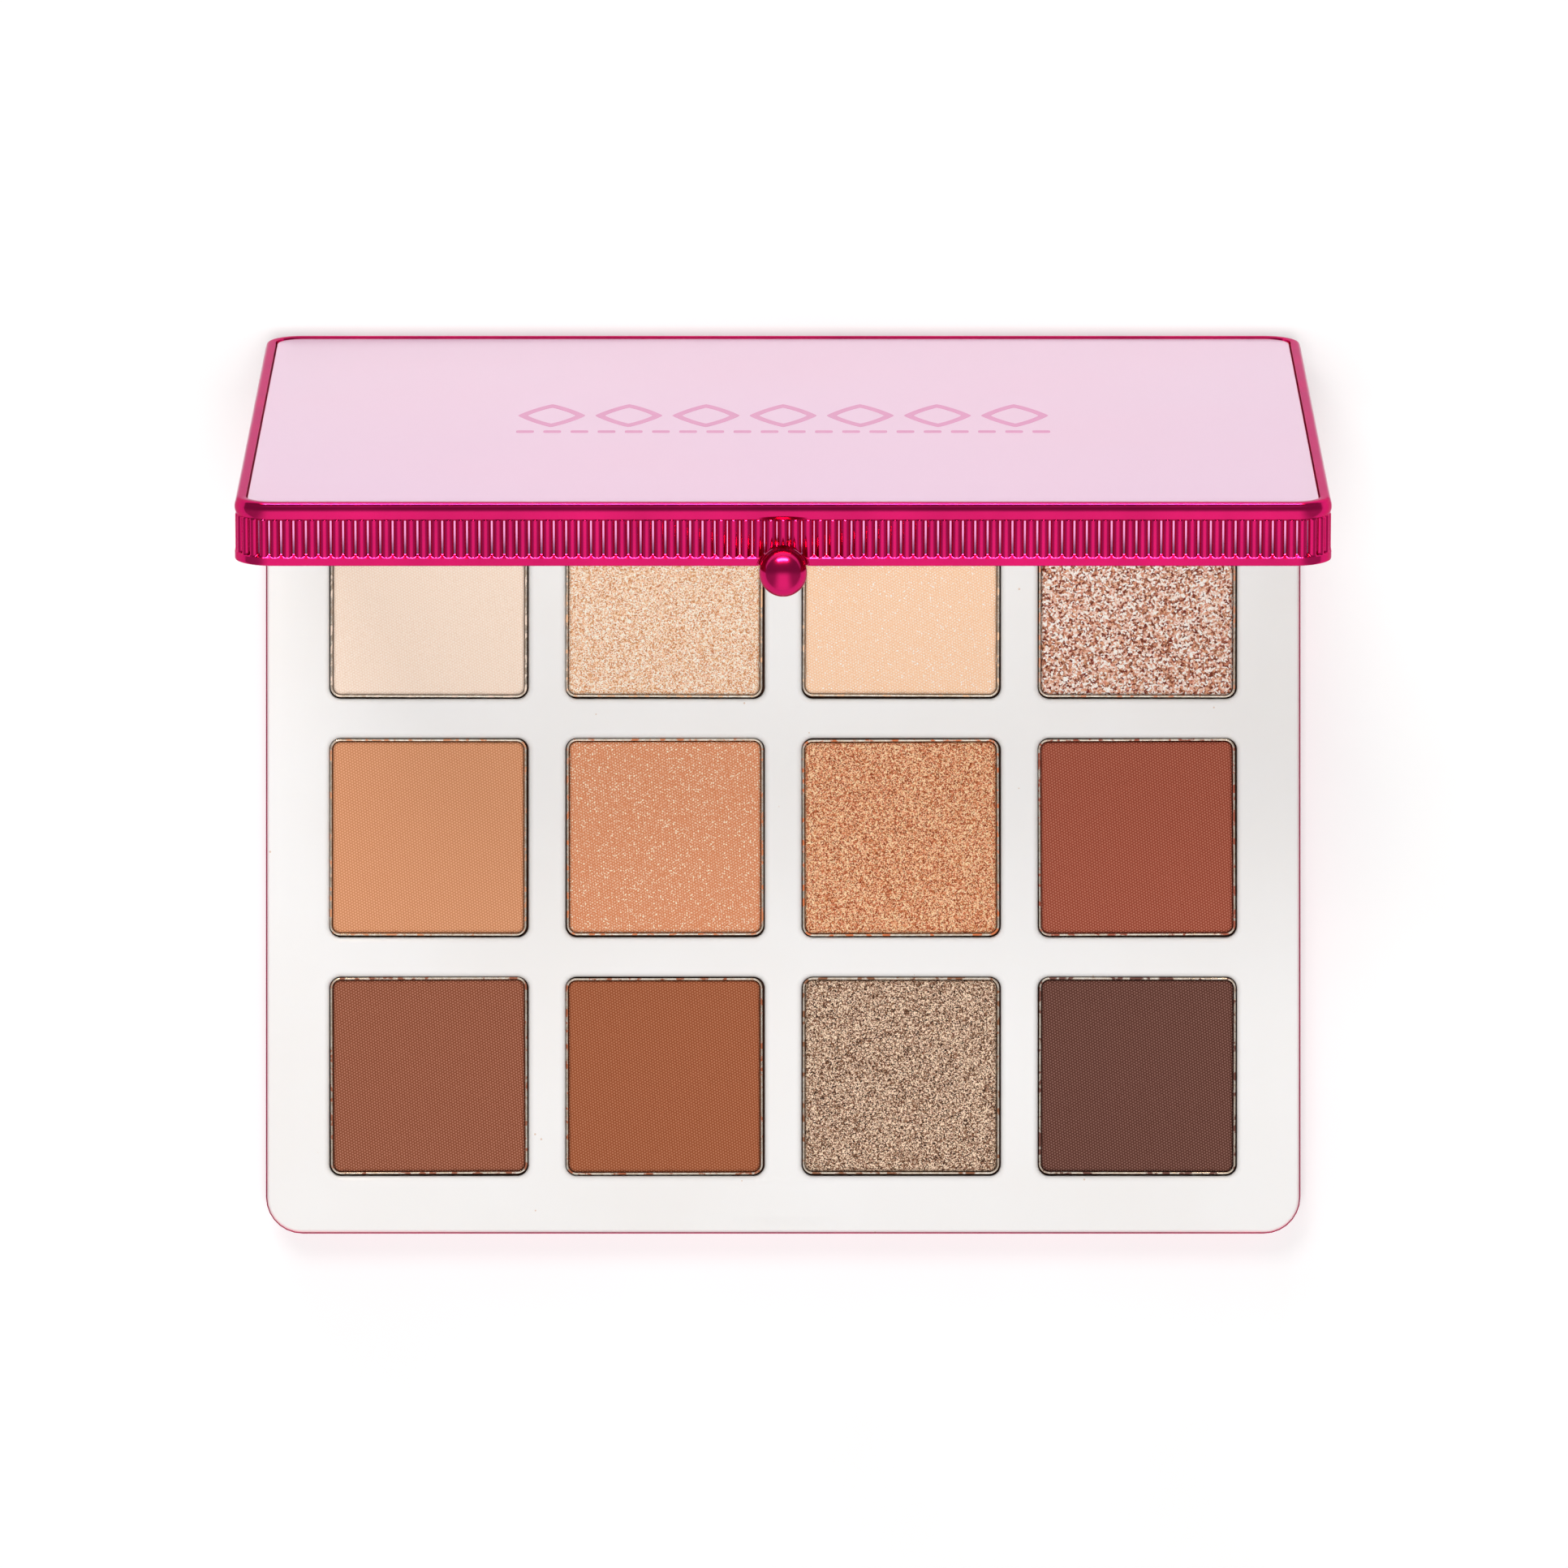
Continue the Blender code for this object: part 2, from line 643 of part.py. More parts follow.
def make_lid_panel(pivot):
    """The pale panel laid in the lid's recess, a hair below the rim."""
    inset = LID_RIM_W + PANEL_GAP
    low = LID_TOP_Z - LID_RECESS + 0.05
    high = low + PANEL_T
    sections = [
        case_ring(inset, low),
        case_ring(inset, high - PANEL_BEVEL),
        case_ring(inset + PANEL_BEVEL, high),
    ]
    return add_object("lid_panel", *loft(sections), material("panel_pink", PALE_PINK, 0.0, 0.2), pivot)


def make_lid_liner(pivot):
    """The white inner frame that carries the mirror and hides the magnet."""
    inset = LID_WALL_T + LINER_GAP
    ceiling = LID_TOP_Z - LID_RECESS - LID_PLATE_T
    top = ceiling - FIT_GAP
    bed = top - LINER_T
    pocket_x = MIRROR_HALF_X + MIRROR_GAP
    pocket_y = MIRROR_HALF_Y + MIRROR_GAP
    sections = [
        (pocket_x, pocket_y, MIRROR_R, bed),
        (pocket_x, pocket_y, MIRROR_R, LINER_FACE_Z + LINER_ROUND),
        (pocket_x + LINER_ROUND, pocket_y + LINER_ROUND, MIRROR_R + LINER_ROUND, LINER_FACE_Z),
        case_ring(inset + LINER_ROUND, LINER_FACE_Z),
        case_ring(inset, LINER_FACE_Z + LINER_ROUND),
        case_ring(inset, top),
    ]
    liner = add_object("lid_liner", *loft(sections), material("liner_white", WHITE, 0.0, 0.35), pivot)
    half_x = MAGNET_X / 2 + MAGNET_GAP
    half_y = MAGNET_Y / 2 + MAGNET_GAP
    pocket = block(
        (-half_x, CATCH_Y - half_y, LID_MAGNET_Z - FIT_GAP), (half_x, CATCH_Y + half_y, top + 1.0)
    )
    combine(liner, add_cutter("liner_pocket", *pocket, pivot), "DIFFERENCE")
    return liner


def make_mirror(pivot):
    """The silvered glass plate with ground edges."""
    low = LINER_FACE_Z + MIRROR_SINK
    ground = (MIRROR_HALF_X - MIRROR_GRIND, MIRROR_HALF_Y - MIRROR_GRIND, MIRROR_R - MIRROR_GRIND)
    sections = [
        (*ground, low),
        (MIRROR_HALF_X, MIRROR_HALF_Y, MIRROR_R, low + MIRROR_GRIND),
        (MIRROR_HALF_X, MIRROR_HALF_Y, MIRROR_R, low + MIRROR_T),
    ]
    look = material("mirror_glass", MIRROR_GREY, 1.0, 0.02)
    return add_object("mirror", *loft(sections), look, pivot)


def make_mirror_tape(pivot):
    """The ring of double-sided tape between the mirror's back and the liner."""
    low = LINER_FACE_Z + MIRROR_SINK + MIRROR_T + TAPE_GAP
    high = low + TAPE_T
    outer = (MIRROR_HALF_X - TAPE_IN, MIRROR_HALF_Y - TAPE_IN, TAPE_R)
    inner = (outer[0] - TAPE_W, outer[1] - TAPE_W, TAPE_R)
    ring = rounded_ring(*outer, 3)
    hole = rounded_ring(*inner, 3)
    count = len(ring)
    loops = ((ring, low), (hole, low), (hole, high), (ring, high))
    points = np.concatenate([np.column_stack([loop, np.full(count, z)]) for loop, z in loops])
    faces = []
    for level in range(4):
        a = level * count
        b = ((level + 1) % 4) * count
        for i in range(count):
            j = (i + 1) % count
            faces.append([a + j, a + i, b + i, b + j])
    return add_object("mirror_tape", points, faces, material("tape_foam", TAPE_WHITE, 0.0, 0.8), pivot)


def make_clasp_ball(pivot):
    """The round clasp bead with the stem that holds it in the lid's front wall."""
    centre = np.array([0.0, -DEPTH / 2 - BALL_OUT, BALL_Z])
    points = [centre + (0.0, 0.0, -BALL_R)]
    for ring in range(1, BALL_RINGS):
        polar = math.pi * ring / BALL_RINGS
        around = np.linspace(0.0, 2 * math.pi, BALL_SEGMENTS, endpoint=False)
        level = np.column_stack(
            [
                BALL_R * math.sin(polar) * np.cos(around),
                BALL_R * math.sin(polar) * np.sin(around),
                np.full(BALL_SEGMENTS, -BALL_R * math.cos(polar)),
            ]
        )
        points += list(centre + level)
    points.append(centre + (0.0, 0.0, BALL_R))
    last = len(points) - 1
    faces = []
    for i in range(BALL_SEGMENTS):
        j = (i + 1) % BALL_SEGMENTS
        faces.append([0, 1 + j, 1 + i])
        top = last - BALL_SEGMENTS
        faces.append([top + i, top + j, last])
        for ring in range(BALL_RINGS - 2):
            a = 1 + ring * BALL_SEGMENTS
            b = a + BALL_SEGMENTS
            faces.append([a + i, a + j, b + j, b + i])
    look = material("ball_metallised", MAGENTA, 0.9, 0.15)
    ball = add_object("clasp_ball", np.array(points), faces, look, pivot)
    inner = -DEPTH / 2 + LID_WALL_T - STEM_END_GAP
    stem = rod_along("y", (0.0, 0.0, STEM_Z), STEM_R, -DEPTH / 2 - BALL_OUT, inner, 24)
    combine(ball, add_cutter("ball_stem", *stem, pivot), "UNION")
    return ball


# ---------------------------------------------------------------- assembly
def main():
    """Builds the base and then the lid on its hinge."""
    clear_scene()
    make_base_shell()
    make_pan_tray()
    tin = material("pan_tinplate", TINPLATE, 1.0, 0.35)
    for name, centre, turn in pan_centres():
        make_pan(name, centre, turn, tin)
        make_cake(name, centre, turn, SHADES[name])
    make_magnet("base_magnet", MAGNET_Z)
    steel = material("pin_steel", STEEL, 1.0, 0.3)
    make_hinge_pin("left", -1, steel)
    make_hinge_pin("right", 1, steel)
    pivot = hinge_pivot()
    make_lid_frame(pivot)
    make_lid_panel(pivot)
    make_lid_liner(pivot)
    make_mirror_tape(pivot)
    make_mirror(pivot)
    make_clasp_ball(pivot)
    make_magnet("lid_magnet", LID_MAGNET_Z, pivot)


main()
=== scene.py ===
import json
import math
from functools import partial

import bmesh
import bpy
import numpy as np
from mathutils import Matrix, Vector


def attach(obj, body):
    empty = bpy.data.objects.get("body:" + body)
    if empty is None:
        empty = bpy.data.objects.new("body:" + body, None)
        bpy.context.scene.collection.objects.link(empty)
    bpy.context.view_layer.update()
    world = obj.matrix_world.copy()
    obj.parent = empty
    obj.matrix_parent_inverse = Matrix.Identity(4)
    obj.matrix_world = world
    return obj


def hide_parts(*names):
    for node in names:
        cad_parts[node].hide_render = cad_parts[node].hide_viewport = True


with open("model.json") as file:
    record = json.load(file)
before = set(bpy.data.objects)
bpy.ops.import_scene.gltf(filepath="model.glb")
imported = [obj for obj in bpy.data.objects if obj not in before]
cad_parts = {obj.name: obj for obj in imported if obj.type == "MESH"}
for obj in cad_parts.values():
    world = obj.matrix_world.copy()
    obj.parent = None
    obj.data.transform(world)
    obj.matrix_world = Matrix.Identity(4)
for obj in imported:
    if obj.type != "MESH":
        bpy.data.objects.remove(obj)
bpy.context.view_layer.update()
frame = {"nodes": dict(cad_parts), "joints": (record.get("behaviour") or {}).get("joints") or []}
print("stage: frame loaded")

mm = 0.001
hinge = frame["joints"][0]
hingeAt = np.array(hinge["pos_m"])
restOpen = math.radians(-hinge["range_deg"][0])

# Sizes of the case that several pieces share, in millimetres, with the lid described as if shut.
case = {
    "width": 127.0, "depth": 101.6, "corner": 4.5, "lidBottom": 8.3, "ribTop": 13.75,
    "lidTop": 15.7, "deck": 7.9, "columnPitch": 29.0, "rowPitch": 29.3, "frontRow": -31.5,
}


def toLinear(hexText):
    # An sRGB channel c becomes c / 12.92 when small, and ((c + 0.055) / 1.055) ^ 2.4 otherwise.
    channels = [int(hexText[i:i + 2], 16) / 255 for i in (1, 3, 5)]
    return [c / 12.92 if c <= 0.04045 else ((c + 0.055) / 1.055) ** 2.4 for c in channels] + [1.0]


def fill(node, inputs):
    # Each input takes a link when it is given another node's output, and a constant otherwise.
    for key, value in inputs.items():
        if isinstance(value, bpy.types.NodeSocket):
            node.id_data.links.new(value, node.inputs[key])
        else:
            node.inputs[key].default_value = value


def addNode(tree, kind, inputs=None, stops=(), every=None, **settings):
    # Adds one node and returns its outputs. Stops are a ramp's (place, colour), as hex text or a grey level.
    # A pattern repeats every so many millimetres along the object's own coordinates.
    node = tree.nodes.new("ShaderNode" + kind)
    for key, value in settings.items():
        setattr(node, key, value)
    fill(node, inputs or {})
    if every:
        node.inputs["Scale"].default_value = 1 / (every * mm)
        tree.links.new(tree.nodes["Texture Coordinate"].outputs["Object"], node.inputs["Vector"])
    for index, (place, colour) in enumerate(stops):
        band = node.color_ramp.elements
        element = band[index] if index < len(band) else band.new(1.0)
        element.position = place
        element.color = toLinear(colour) if isinstance(colour, str) else [colour] * 3 + [1.0]
    return node.outputs


def newMaterial(name):
    # A material, its way of adding nodes, its shader, and the object's own coordinates in metres.
    made = bpy.data.materials.new(name)
    made.use_nodes = True
    add = partial(addNode, made.node_tree)
    return made, add, made.node_tree.nodes["Principled BSDF"], add("TexCoord")["Object"]


def buildPiece(name, points, faces, look, sharp=35.0, attributes=None):
    # points in millimetres, at rest in the row frame; faces a list of index arrays
    mesh = bpy.data.meshes.new(name)
    flat = []
    for part in faces:
        flat += np.asarray(part).tolist()
    mesh.from_pydata((np.asarray(points) * mm).tolist(), [], flat)
    mesh.validate()
    mesh.shade_smooth()
    mesh.set_sharp_from_angle(angle=math.radians(sharp))
    for key, values in (attributes or {}).items():
        kind = "FLOAT_VECTOR" if values.ndim == 2 else "FLOAT"
        layer = mesh.attributes.new(key, kind, "POINT")
        layer.data.foreach_set("vector" if values.ndim == 2 else "value", values.astype(np.float32).ravel())
    mesh.materials.append(look)
    piece = bpy.data.objects.new(name, mesh)
    bpy.context.scene.collection.objects.link(piece)
    return piece


def opened(points):
    # Turns lid points from shut to rest about the hinge: y' = y cos + z sin, z' = z cos - y sin.
    moved = np.asarray(points, float) - hingeAt / mm
    y = moved[:, 1] * math.cos(restOpen) + moved[:, 2] * math.sin(restOpen)
    z = moved[:, 2] * math.cos(restOpen) - moved[:, 1] * math.sin(restOpen)
    return np.column_stack([moved[:, 0], y, z]) + hingeAt / mm


def gridFaces(rows, columns, closeRows=False, closeColumns=False):
    # Quads between neighbouring rows and columns of a grid whose points are stored row by row.
    i = np.arange(rows if closeRows else rows - 1)[:, None]
    j = np.arange(columns if closeColumns else columns - 1)[None, :]
    a = i * columns + j
    b = i * columns + (j + 1) % columns
    c = ((i + 1) % rows) * columns + (j + 1) % columns
    d = ((i + 1) % rows) * columns + j
    return np.stack([a, b, c, d], axis=-1).reshape(-1, 4)


def atHeight(ring, z):
    return np.column_stack([ring, np.full(len(ring), z)])


def loft(rings, closeRows=False, capped=True):
    # Joins closed rings that have the same count of points by quads, with a flat cap at each end if asked.
    count = len(rings[0])
    faces = [gridFaces(len(rings), count, closeRows, True)]
    if capped:
        last = (len(rings) - 1) * count
        faces += [np.arange(count)[None, ::-1], last + np.arange(count)[None, :]]
    return np.concatenate(rings), faces


def outline(s, halfX, halfY, radius):
    # Walks round a rounded rectangle from the middle of its front: straights joined by quarter circles.
    a, b, q = halfX - radius, halfY - radius, radius * math.pi / 2
    starts = np.concatenate([[0.0], np.cumsum([a, q, 2 * b, q, 2 * a, q, 2 * b, q])])
    s = np.mod(s, 4 * (a + b + q))
    k = np.searchsorted(starts, s, side="right") - 1
    t = s - starts[k]
    arc = k % 2 == 1
    side = k // 2
    angle = -math.pi / 2 + side * math.pi / 2 + np.where(arc, t / radius, 0.0)
    normal = np.column_stack([np.cos(angle), np.sin(angle)])
    tangent = np.column_stack([-normal[:, 1], normal[:, 0]])
    anchors = np.array([[0, -b], [a, -b], [a, b], [-a, b], [-a, -b]])
    corners = np.array([[a, -b], [a, b], [-a, b], [-a, -b], [-a, -b]])
    base = np.where(arc[:, None], corners[side], anchors[side] + t[:, None] * tangent)
    return base + radius * normal, normal


def outlineLength(halfX, halfY, radius):
    return 4 * (halfX + halfY - 2 * radius) + 2 * math.pi * radius


def cornerStations(halfX, halfY, radius, straight=6, bend=14):
    # Stations that crowd in the corners, where the outline turns, counted from the front's middle.
    a, b, q = halfX - radius, halfY - radius, radius * math.pi / 2
    lengths = [a, q, 2 * b, q, 2 * a, q, 2 * b, q, a]
    found, at = [], 0.0
    for index, length in enumerate(lengths):
        count = bend if index % 2 else straight
        found.append(at + np.linspace(0.0, length, count, endpoint=False))
        at += length
    return np.concatenate(found)


def caseInset(points):
    # How far inside the case outline each point lies, measured square to the nearest side or corner arc.
    halfX, halfY = case["width"] / 2, case["depth"] / 2
    x, y = np.abs(points[:, 0]), np.abs(points[:, 1])
    overX = np.maximum(x - halfX + case["corner"], 0.0)
    overY = np.maximum(y - halfY + case["corner"], 0.0)
    straight = np.minimum(halfX - x, halfY - y)
    return np.where((overX > 0) & (overY > 0), case["corner"] - np.hypot(overX, overY), straight)


def caseLoft(profile, shift=(0.0, 0.0), halfX=None, halfY=None, radius=None, straight=6, bend=14):
    # A closed solid: the case outline drawn in by each inset of the profile, with a flat cap at each end.
    halfX = halfX or case["width"] / 2
    halfY = halfY or case["depth"] / 2
    radius = radius or case["corner"]
    place, normal = outline(cornerStations(halfX, halfY, radius, straight, bend), halfX, halfY, radius)
    return loft([atHeight(place - inset * normal + np.array(shift), z) for inset, z in profile])


def quarter(radius, steps=5):
    # (inset, drop) over a rounded edge, from the side up to the flat top.
    angle = np.linspace(0.0, math.pi / 2, steps + 1)
    return [(radius * (1 - math.cos(a)), radius * (1 - math.sin(a))) for a in angle]


def joinSolids(solids):
    points, faces, start = [], [], 0
    for solidPoints, solidFaces in solids:
        points.append(solidPoints)
        faces += [np.asarray(part) + start for part in solidFaces]
        start += len(solidPoints)
    return np.concatenate(points), faces


def evenShading(piece):
    # Large faces set the shading, so that flats look flat beside their rounded edges.
    weights = piece.modifiers.new("evenShading", "WEIGHTED_NORMAL")
    weights.weight = 100
    weights.keep_sharp = True


def mergePoints(mesh, dissolve=False):
    # Joins points under two microns apart and, if asked, the faces that lie in one plane.
    work = bmesh.new()
    work.from_mesh(mesh)
    bmesh.ops.remove_doubles(work, verts=work.verts, dist=0.002 * mm)
    if dissolve:
        bmesh.ops.dissolve_limit(work, angle_limit=math.radians(0.4), verts=work.verts, edges=work.edges)
    bmesh.ops.recalc_face_normals(work, faces=work.faces)
    work.to_mesh(mesh)
    work.free()


def refined(node, look, sharp=32.0, dissolve=True):
    # A copy of a CAD node with its points merged and its flats kept flat in the shading.
    mesh = frame["nodes"][node].data.copy()
    mesh.name = node + "Fine"
    piece = bpy.data.objects.new(node + "Fine", mesh)
    bpy.context.scene.collection.objects.link(piece)
    mergePoints(mesh, dissolve)
    mesh.materials.clear()
    mesh.materials.append(look)
    mesh.shade_smooth()
    mesh.set_sharp_from_angle(angle=math.radians(sharp))
    evenShading(piece)
    return piece


def settle(piece, node, body):
    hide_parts(node)
    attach(piece, body)


# The groove tint paints a highlight along the floors between the ribs.
metalLook = {
    "tint": "#d81468", "tintDeep": "#c2105c", "edgeTint": "#d990b4", "grooveHighlightTint": "#f0a0d4",
    "roughness": 0.15, "coat": 0.16, "coatRoughness": 0.05, "peelSize": 0.9,
    "shineRange": (0.8, 1.25), "peelStrength": 0.035, "peelHeight": 0.2, "cloudSize": 9.0,
    "cloudDetail": 3.0,
}


def lacquered(add, look):
    # Slow clouds of tint and shine, and orange peel, as a sprayed face shows: colour, roughness and normal.
    cloud = add("TexNoise", {"Detail": look["cloudDetail"]}, every=look["cloudSize"])["Fac"]
    tint = add("ValToRGB", {0: cloud}, [(0.3, look["tintDeep"]), (0.7, look["tint"])])[0]
    low, high = [look["roughness"] * share for share in look["shineRange"]]
    shine = add("ValToRGB", {0: cloud}, [(0.3, low), (0.7, high)])[0]
    peel = add("TexNoise", every=look["peelSize"])["Fac"]
    bump = {"Height": peel, "Strength": look["peelStrength"], "Distance": look["peelHeight"] * mm}
    return tint, shine, add("Bump", bump)[0]


def metallisedPlastic(name, look):
    # Vacuum-metallised moulding under a dyed clear lacquer: a mirror-like tinted metal with a colourless
    # gloss over it, faint orange peel in the highlights and patches of slightly softer shine. The attribute
    # groove paints a pale pink highlight along the floors between the ribs: a painted highlight line.
    made, add, shader, _ = newMaterial(name)
    colour, shine, bump = lacquered(add, look)
    groove = add("Attribute", attribute_name="groove")["Fac"]
    # Painted highlight: the groove floors are mixed toward a pale pink.
    grooveHighlighted = add("Mix", {0: groove, 6: colour, 7: toLinear(look["grooveHighlightTint"])}, data_type="RGBA")[2]
    fill(shader, {
        "Base Color": grooveHighlighted,
        "Metallic": 1.0,
        "Roughness": shine,
        "Normal": bump,
        "Specular Tint": toLinear(look["edgeTint"]),
        "Coat Weight": look["coat"],
        "Coat Roughness": look["coatRoughness"],
        "Coat IOR": 1.5,
    })
    return made


magentaMetal = metallisedPlastic("vacuumMetallisedMagentaPlastic", metalLook)


ribs = {
    "count": 314, "crestInset": 0.08, "depth": 0.52, "halfWidth": 0.86, "bottom": 9.25,
    "ledgeSlope": 1.35, "scoop": 0.3, "wall": 1.6, "wallTop": 13.5, "innerRound": 0.15,
    "root": (1.0, 13.9), "bottomRound": 0.22, "topBevel": 0.11, "denseRibs": 5,
}
seat = {"radius": 2.93, "z": 7.72, "depth": 0.62, "slopeWidth": 0.34}


def skirtDepth(phase, z):
    # Half-round ribs: depth times one less the root of one less the square of the distance from the crest.
    # The groove's foot is cut by a sloping ledge and its head by a rounded scoop, and both take the lesser
    # depth. The ribs' tops are bevelled, and the lip's lower edge is rounded.
    across = np.clip(np.abs(phase) / ribs["halfWidth"], 0.0, 1.0)
    crown = ribs["crestInset"] + ribs["depth"] * (1 - np.sqrt(1 - across ** 2))
    ledge = np.maximum(z - ribs["bottom"], 0.0) * ribs["ledgeSlope"]
    fromTop = np.clip((case["ribTop"] - z) / ribs["scoop"], 0.0, 1.0)
    scoop = ribs["crestInset"] + ribs["depth"] * np.sqrt(1 - (1 - fromTop) ** 2)
    under = np.maximum(case["lidBottom"] + ribs["bottomRound"] - z, 0.0) / ribs["bottomRound"]
    edge = ribs["bottomRound"] * (1 - np.sqrt(np.clip(1 - under ** 2, 0.0, 1.0)))
    bevel = np.maximum(z - (case["ribTop"] - ribs["topBevel"]), 0.0) + ribs["crestInset"]
    bevel = np.where(bevel > ribs["crestInset"], bevel, 0.0)
    return np.maximum(np.maximum(np.minimum(np.minimum(crown, ledge), scoop), bevel), edge)


def seatDepth(x, z):
    # A round flat seat with a short conical wall: full depth inside the radius, sloping out over its rim.
    away = np.hypot(x, z - seat["z"])
    inside = np.clip((seat["radius"] + seat["slopeWidth"] / 2 - away) / seat["slopeWidth"], 0.0, 1.0)
    return seat["depth"] * inside * inside * (3 - 2 * inside) * 0.5 + seat["depth"] * inside * 0.5


def skirtStrip(firstRib, lastRib, phases, heights):
    # The ribbed wall as a tube of rows: down the ribbed outside, under the edge and up the plain inside.
    halfX, halfY, radius = case["width"] / 2, case["depth"] / 2, case["corner"]
    pitch = outlineLength(halfX, halfY, radius) / ribs["count"]
    number = np.arange(firstRib, lastRib + 1)
    s = np.append((number[:, None] + phases[None, :] / 2).ravel(), lastRib + 0.5) * pitch
    phase = np.append(np.tile(phases, len(number)), 1.0)
    place, normal = outline(s, halfX, halfY, radius)
    x = np.where(np.abs(place[:, 1] + halfY) < 1.0, place[:, 0], 99.0)
    rows = []
    for z in heights:
        depth = np.maximum(skirtDepth(phase, np.full(len(s), z)), seatDepth(x, z))
        rows.append(atHeight(place - depth[:, None] * normal, z))
    inner, small, bottom = ribs["wall"], ribs["innerRound"], case["lidBottom"]
    inside = [(inner - small, bottom), (inner, bottom + small), (inner, ribs["wallTop"]), ribs["root"]]
    rows += [atHeight(place - inset * normal, z) for inset, z in inside]
    points = np.concatenate(rows)
    count = len(s)
    faces = [gridFaces(len(rows), count, True, False)[:, ::-1]]
    ends = np.arange(len(rows)) * count
    faces += [ends[None, :], (ends + count - 1)[None, ::-1]]
    return points, faces


def grooveShare(points):
    # How far a point lies down in a groove: one on the groove's floor, none on the ribs and the rest.
    down = np.abs(caseInset(points) - ribs["crestInset"] - ribs["depth"]) < 0.04
    between = (points[:, 2] > ribs["bottom"] + 0.3) & (points[:, 2] < case["ribTop"] - 0.1)
    return (down & between).astype(float)


def ribbedSkirt():
    # Two strips: a fine one across the seat in the middle of the front, and a coarser one for all the rest.
    # Columns crowd at each rib's sides, and rows at its scooped head, its foot and the rounded lip.
    coarse = np.array([-1.0, -0.86, -0.8, -0.68, -0.48, -0.24, 0.0, 0.24, 0.48, 0.68, 0.8, 0.86])
    top, bottom = case["ribTop"], case["lidBottom"]
    head = top - np.array([-0.06, 0.0, 0.11, 0.2, 0.3, 0.45])
    foot = ribs["bottom"] + np.array([0.5, 0.38, 0.27, 0.17, 0.08, 0.0, -0.06])
    heights = np.concatenate([head, foot, bottom + np.array([0.3, 0.2, 0.08, 0.0])])
    dense = np.linspace(-1.0, 1.0, 27)[:-1]
    spans = [(top, top - 0.11, 3), (top - 0.15, top - 0.45, 5), (top - 0.75, top - 2.55, 3)]
    spans.append((bottom + 2.8, bottom, 46))
    fine = np.concatenate([[top + 0.06], *(np.linspace(*span) for span in spans)])
    k = ribs["denseRibs"]
    ring = skirtStrip(k + 1, ribs["count"] - k - 1, coarse, heights)
    front = skirtStrip(-k, k, dense, fine)
    return joinSolids([ring, front])


lidEdge = {
    "root": (1.2, 13.3), "bandTop": 15.25, "bulge": 0.17, "lowRound": 0.1, "topRound": 0.42,
    "rimWidth": 1.35, "rimRound": 0.1, "recess": 1.2,
}


def lidTop():
    # The smooth band, rim and panel recess: a profile of (inset, height) swept round the case outline. The
    # band bulges as a shallow arc, t squared from its middle, with a tight round below and a wider one above.
    low, high, bulge = case["ribTop"] + lidEdge["lowRound"], lidEdge["bandTop"], lidEdge["bulge"]
    small = [(bulge + lidEdge["lowRound"] * (1 - math.sin(a)), low - lidEdge["lowRound"] * math.cos(a))
             for a in np.linspace(0.0, math.pi / 2, 5)]
    band = [(bulge * t * t, low + (t + 1) / 2 * (high - low)) for t in np.linspace(-1.0, 1.0, 17)]
    edge = [(bulge + inset, case["lidTop"] - drop * (case["lidTop"] - high) / lidEdge["topRound"])
            for inset, drop in quarter(lidEdge["topRound"], 7)[1:]]
    rim, top, soft = lidEdge["rimWidth"], case["lidTop"], lidEdge["rimRound"]
    inner = [(rim - soft, top), (rim - 0.3 * soft, top - 0.3 * soft), (rim, top - soft)]
    root = [lidEdge["root"], (lidEdge["root"][0], case["ribTop"])]
    profile = [*root, *small, *band[1:], *edge, *inner, (rim, top - lidEdge["recess"])]
    return caseLoft(profile, straight=8, bend=18)


knuckle = {"radius": 1.6, "bore": 0.66, "mid": 47.0, "width": 13.4, "webTop": 8.9,
           "bevel": 0.12, "draw": 0.985}


def lidKnuckles():
    # A barrel about the pin with a flat web into the wall. The outer loop and the bore have as many points as
    # each other, and the loop is drawn in a little at both ends as a bevel.
    angle = np.linspace(math.pi / 2, 2 * math.pi, 28)
    hy, hz = hingeAt[1] / mm, hingeAt[2] / mm
    barrel = np.column_stack([hy + knuckle["radius"] * np.cos(angle), hz + knuckle["radius"] * np.sin(angle)])
    rise = np.linspace(hz + 0.3, knuckle["webTop"], 6)
    rear = np.column_stack([np.full(6, hy + knuckle["radius"] - 0.02), rise])
    front = np.column_stack([np.full(5, hy + 0.04), np.linspace(knuckle["webTop"], hz + 1.75, 5)])
    loop = np.concatenate([barrel, rear, front])
    around = np.arctan2(loop[:, 1] - hz, loop[:, 0] - hy)
    bore = np.column_stack([hy + knuckle["bore"] * np.cos(around), hz + knuckle["bore"] * np.sin(around)])
    draw, bevel = knuckle["draw"], knuckle["bevel"]
    drawn = loop * draw + bore.mean(0) * (1 - draw)
    solids = []
    for side in (-1, 1):
        low = side * knuckle["mid"] - knuckle["width"] / 2
        high = low + knuckle["width"]
        rings = [(bore, low), (drawn, low), (loop, low + bevel)]
        rings += [(loop, high - bevel), (drawn, high), (bore, high)]
        rings = [np.column_stack([np.full(len(ring), x), ring]) for ring, x in rings]
        solids.append(loft(rings, closeRows=True, capped=False))
    return joinSolids(solids)


skirtPoints, skirtFaces = joinSolids([ribbedSkirt(), lidTop(), lidKnuckles()])
grooves = {"groove": grooveShare(skirtPoints)}
lidFrame = buildPiece("ribbedLidFrame", opened(skirtPoints), skirtFaces, magentaMetal, 40.0, grooves)
settle(lidFrame, "lid_frame", "lid")
print("stage: ribbed lid frame", len(lidFrame.data.polygons))


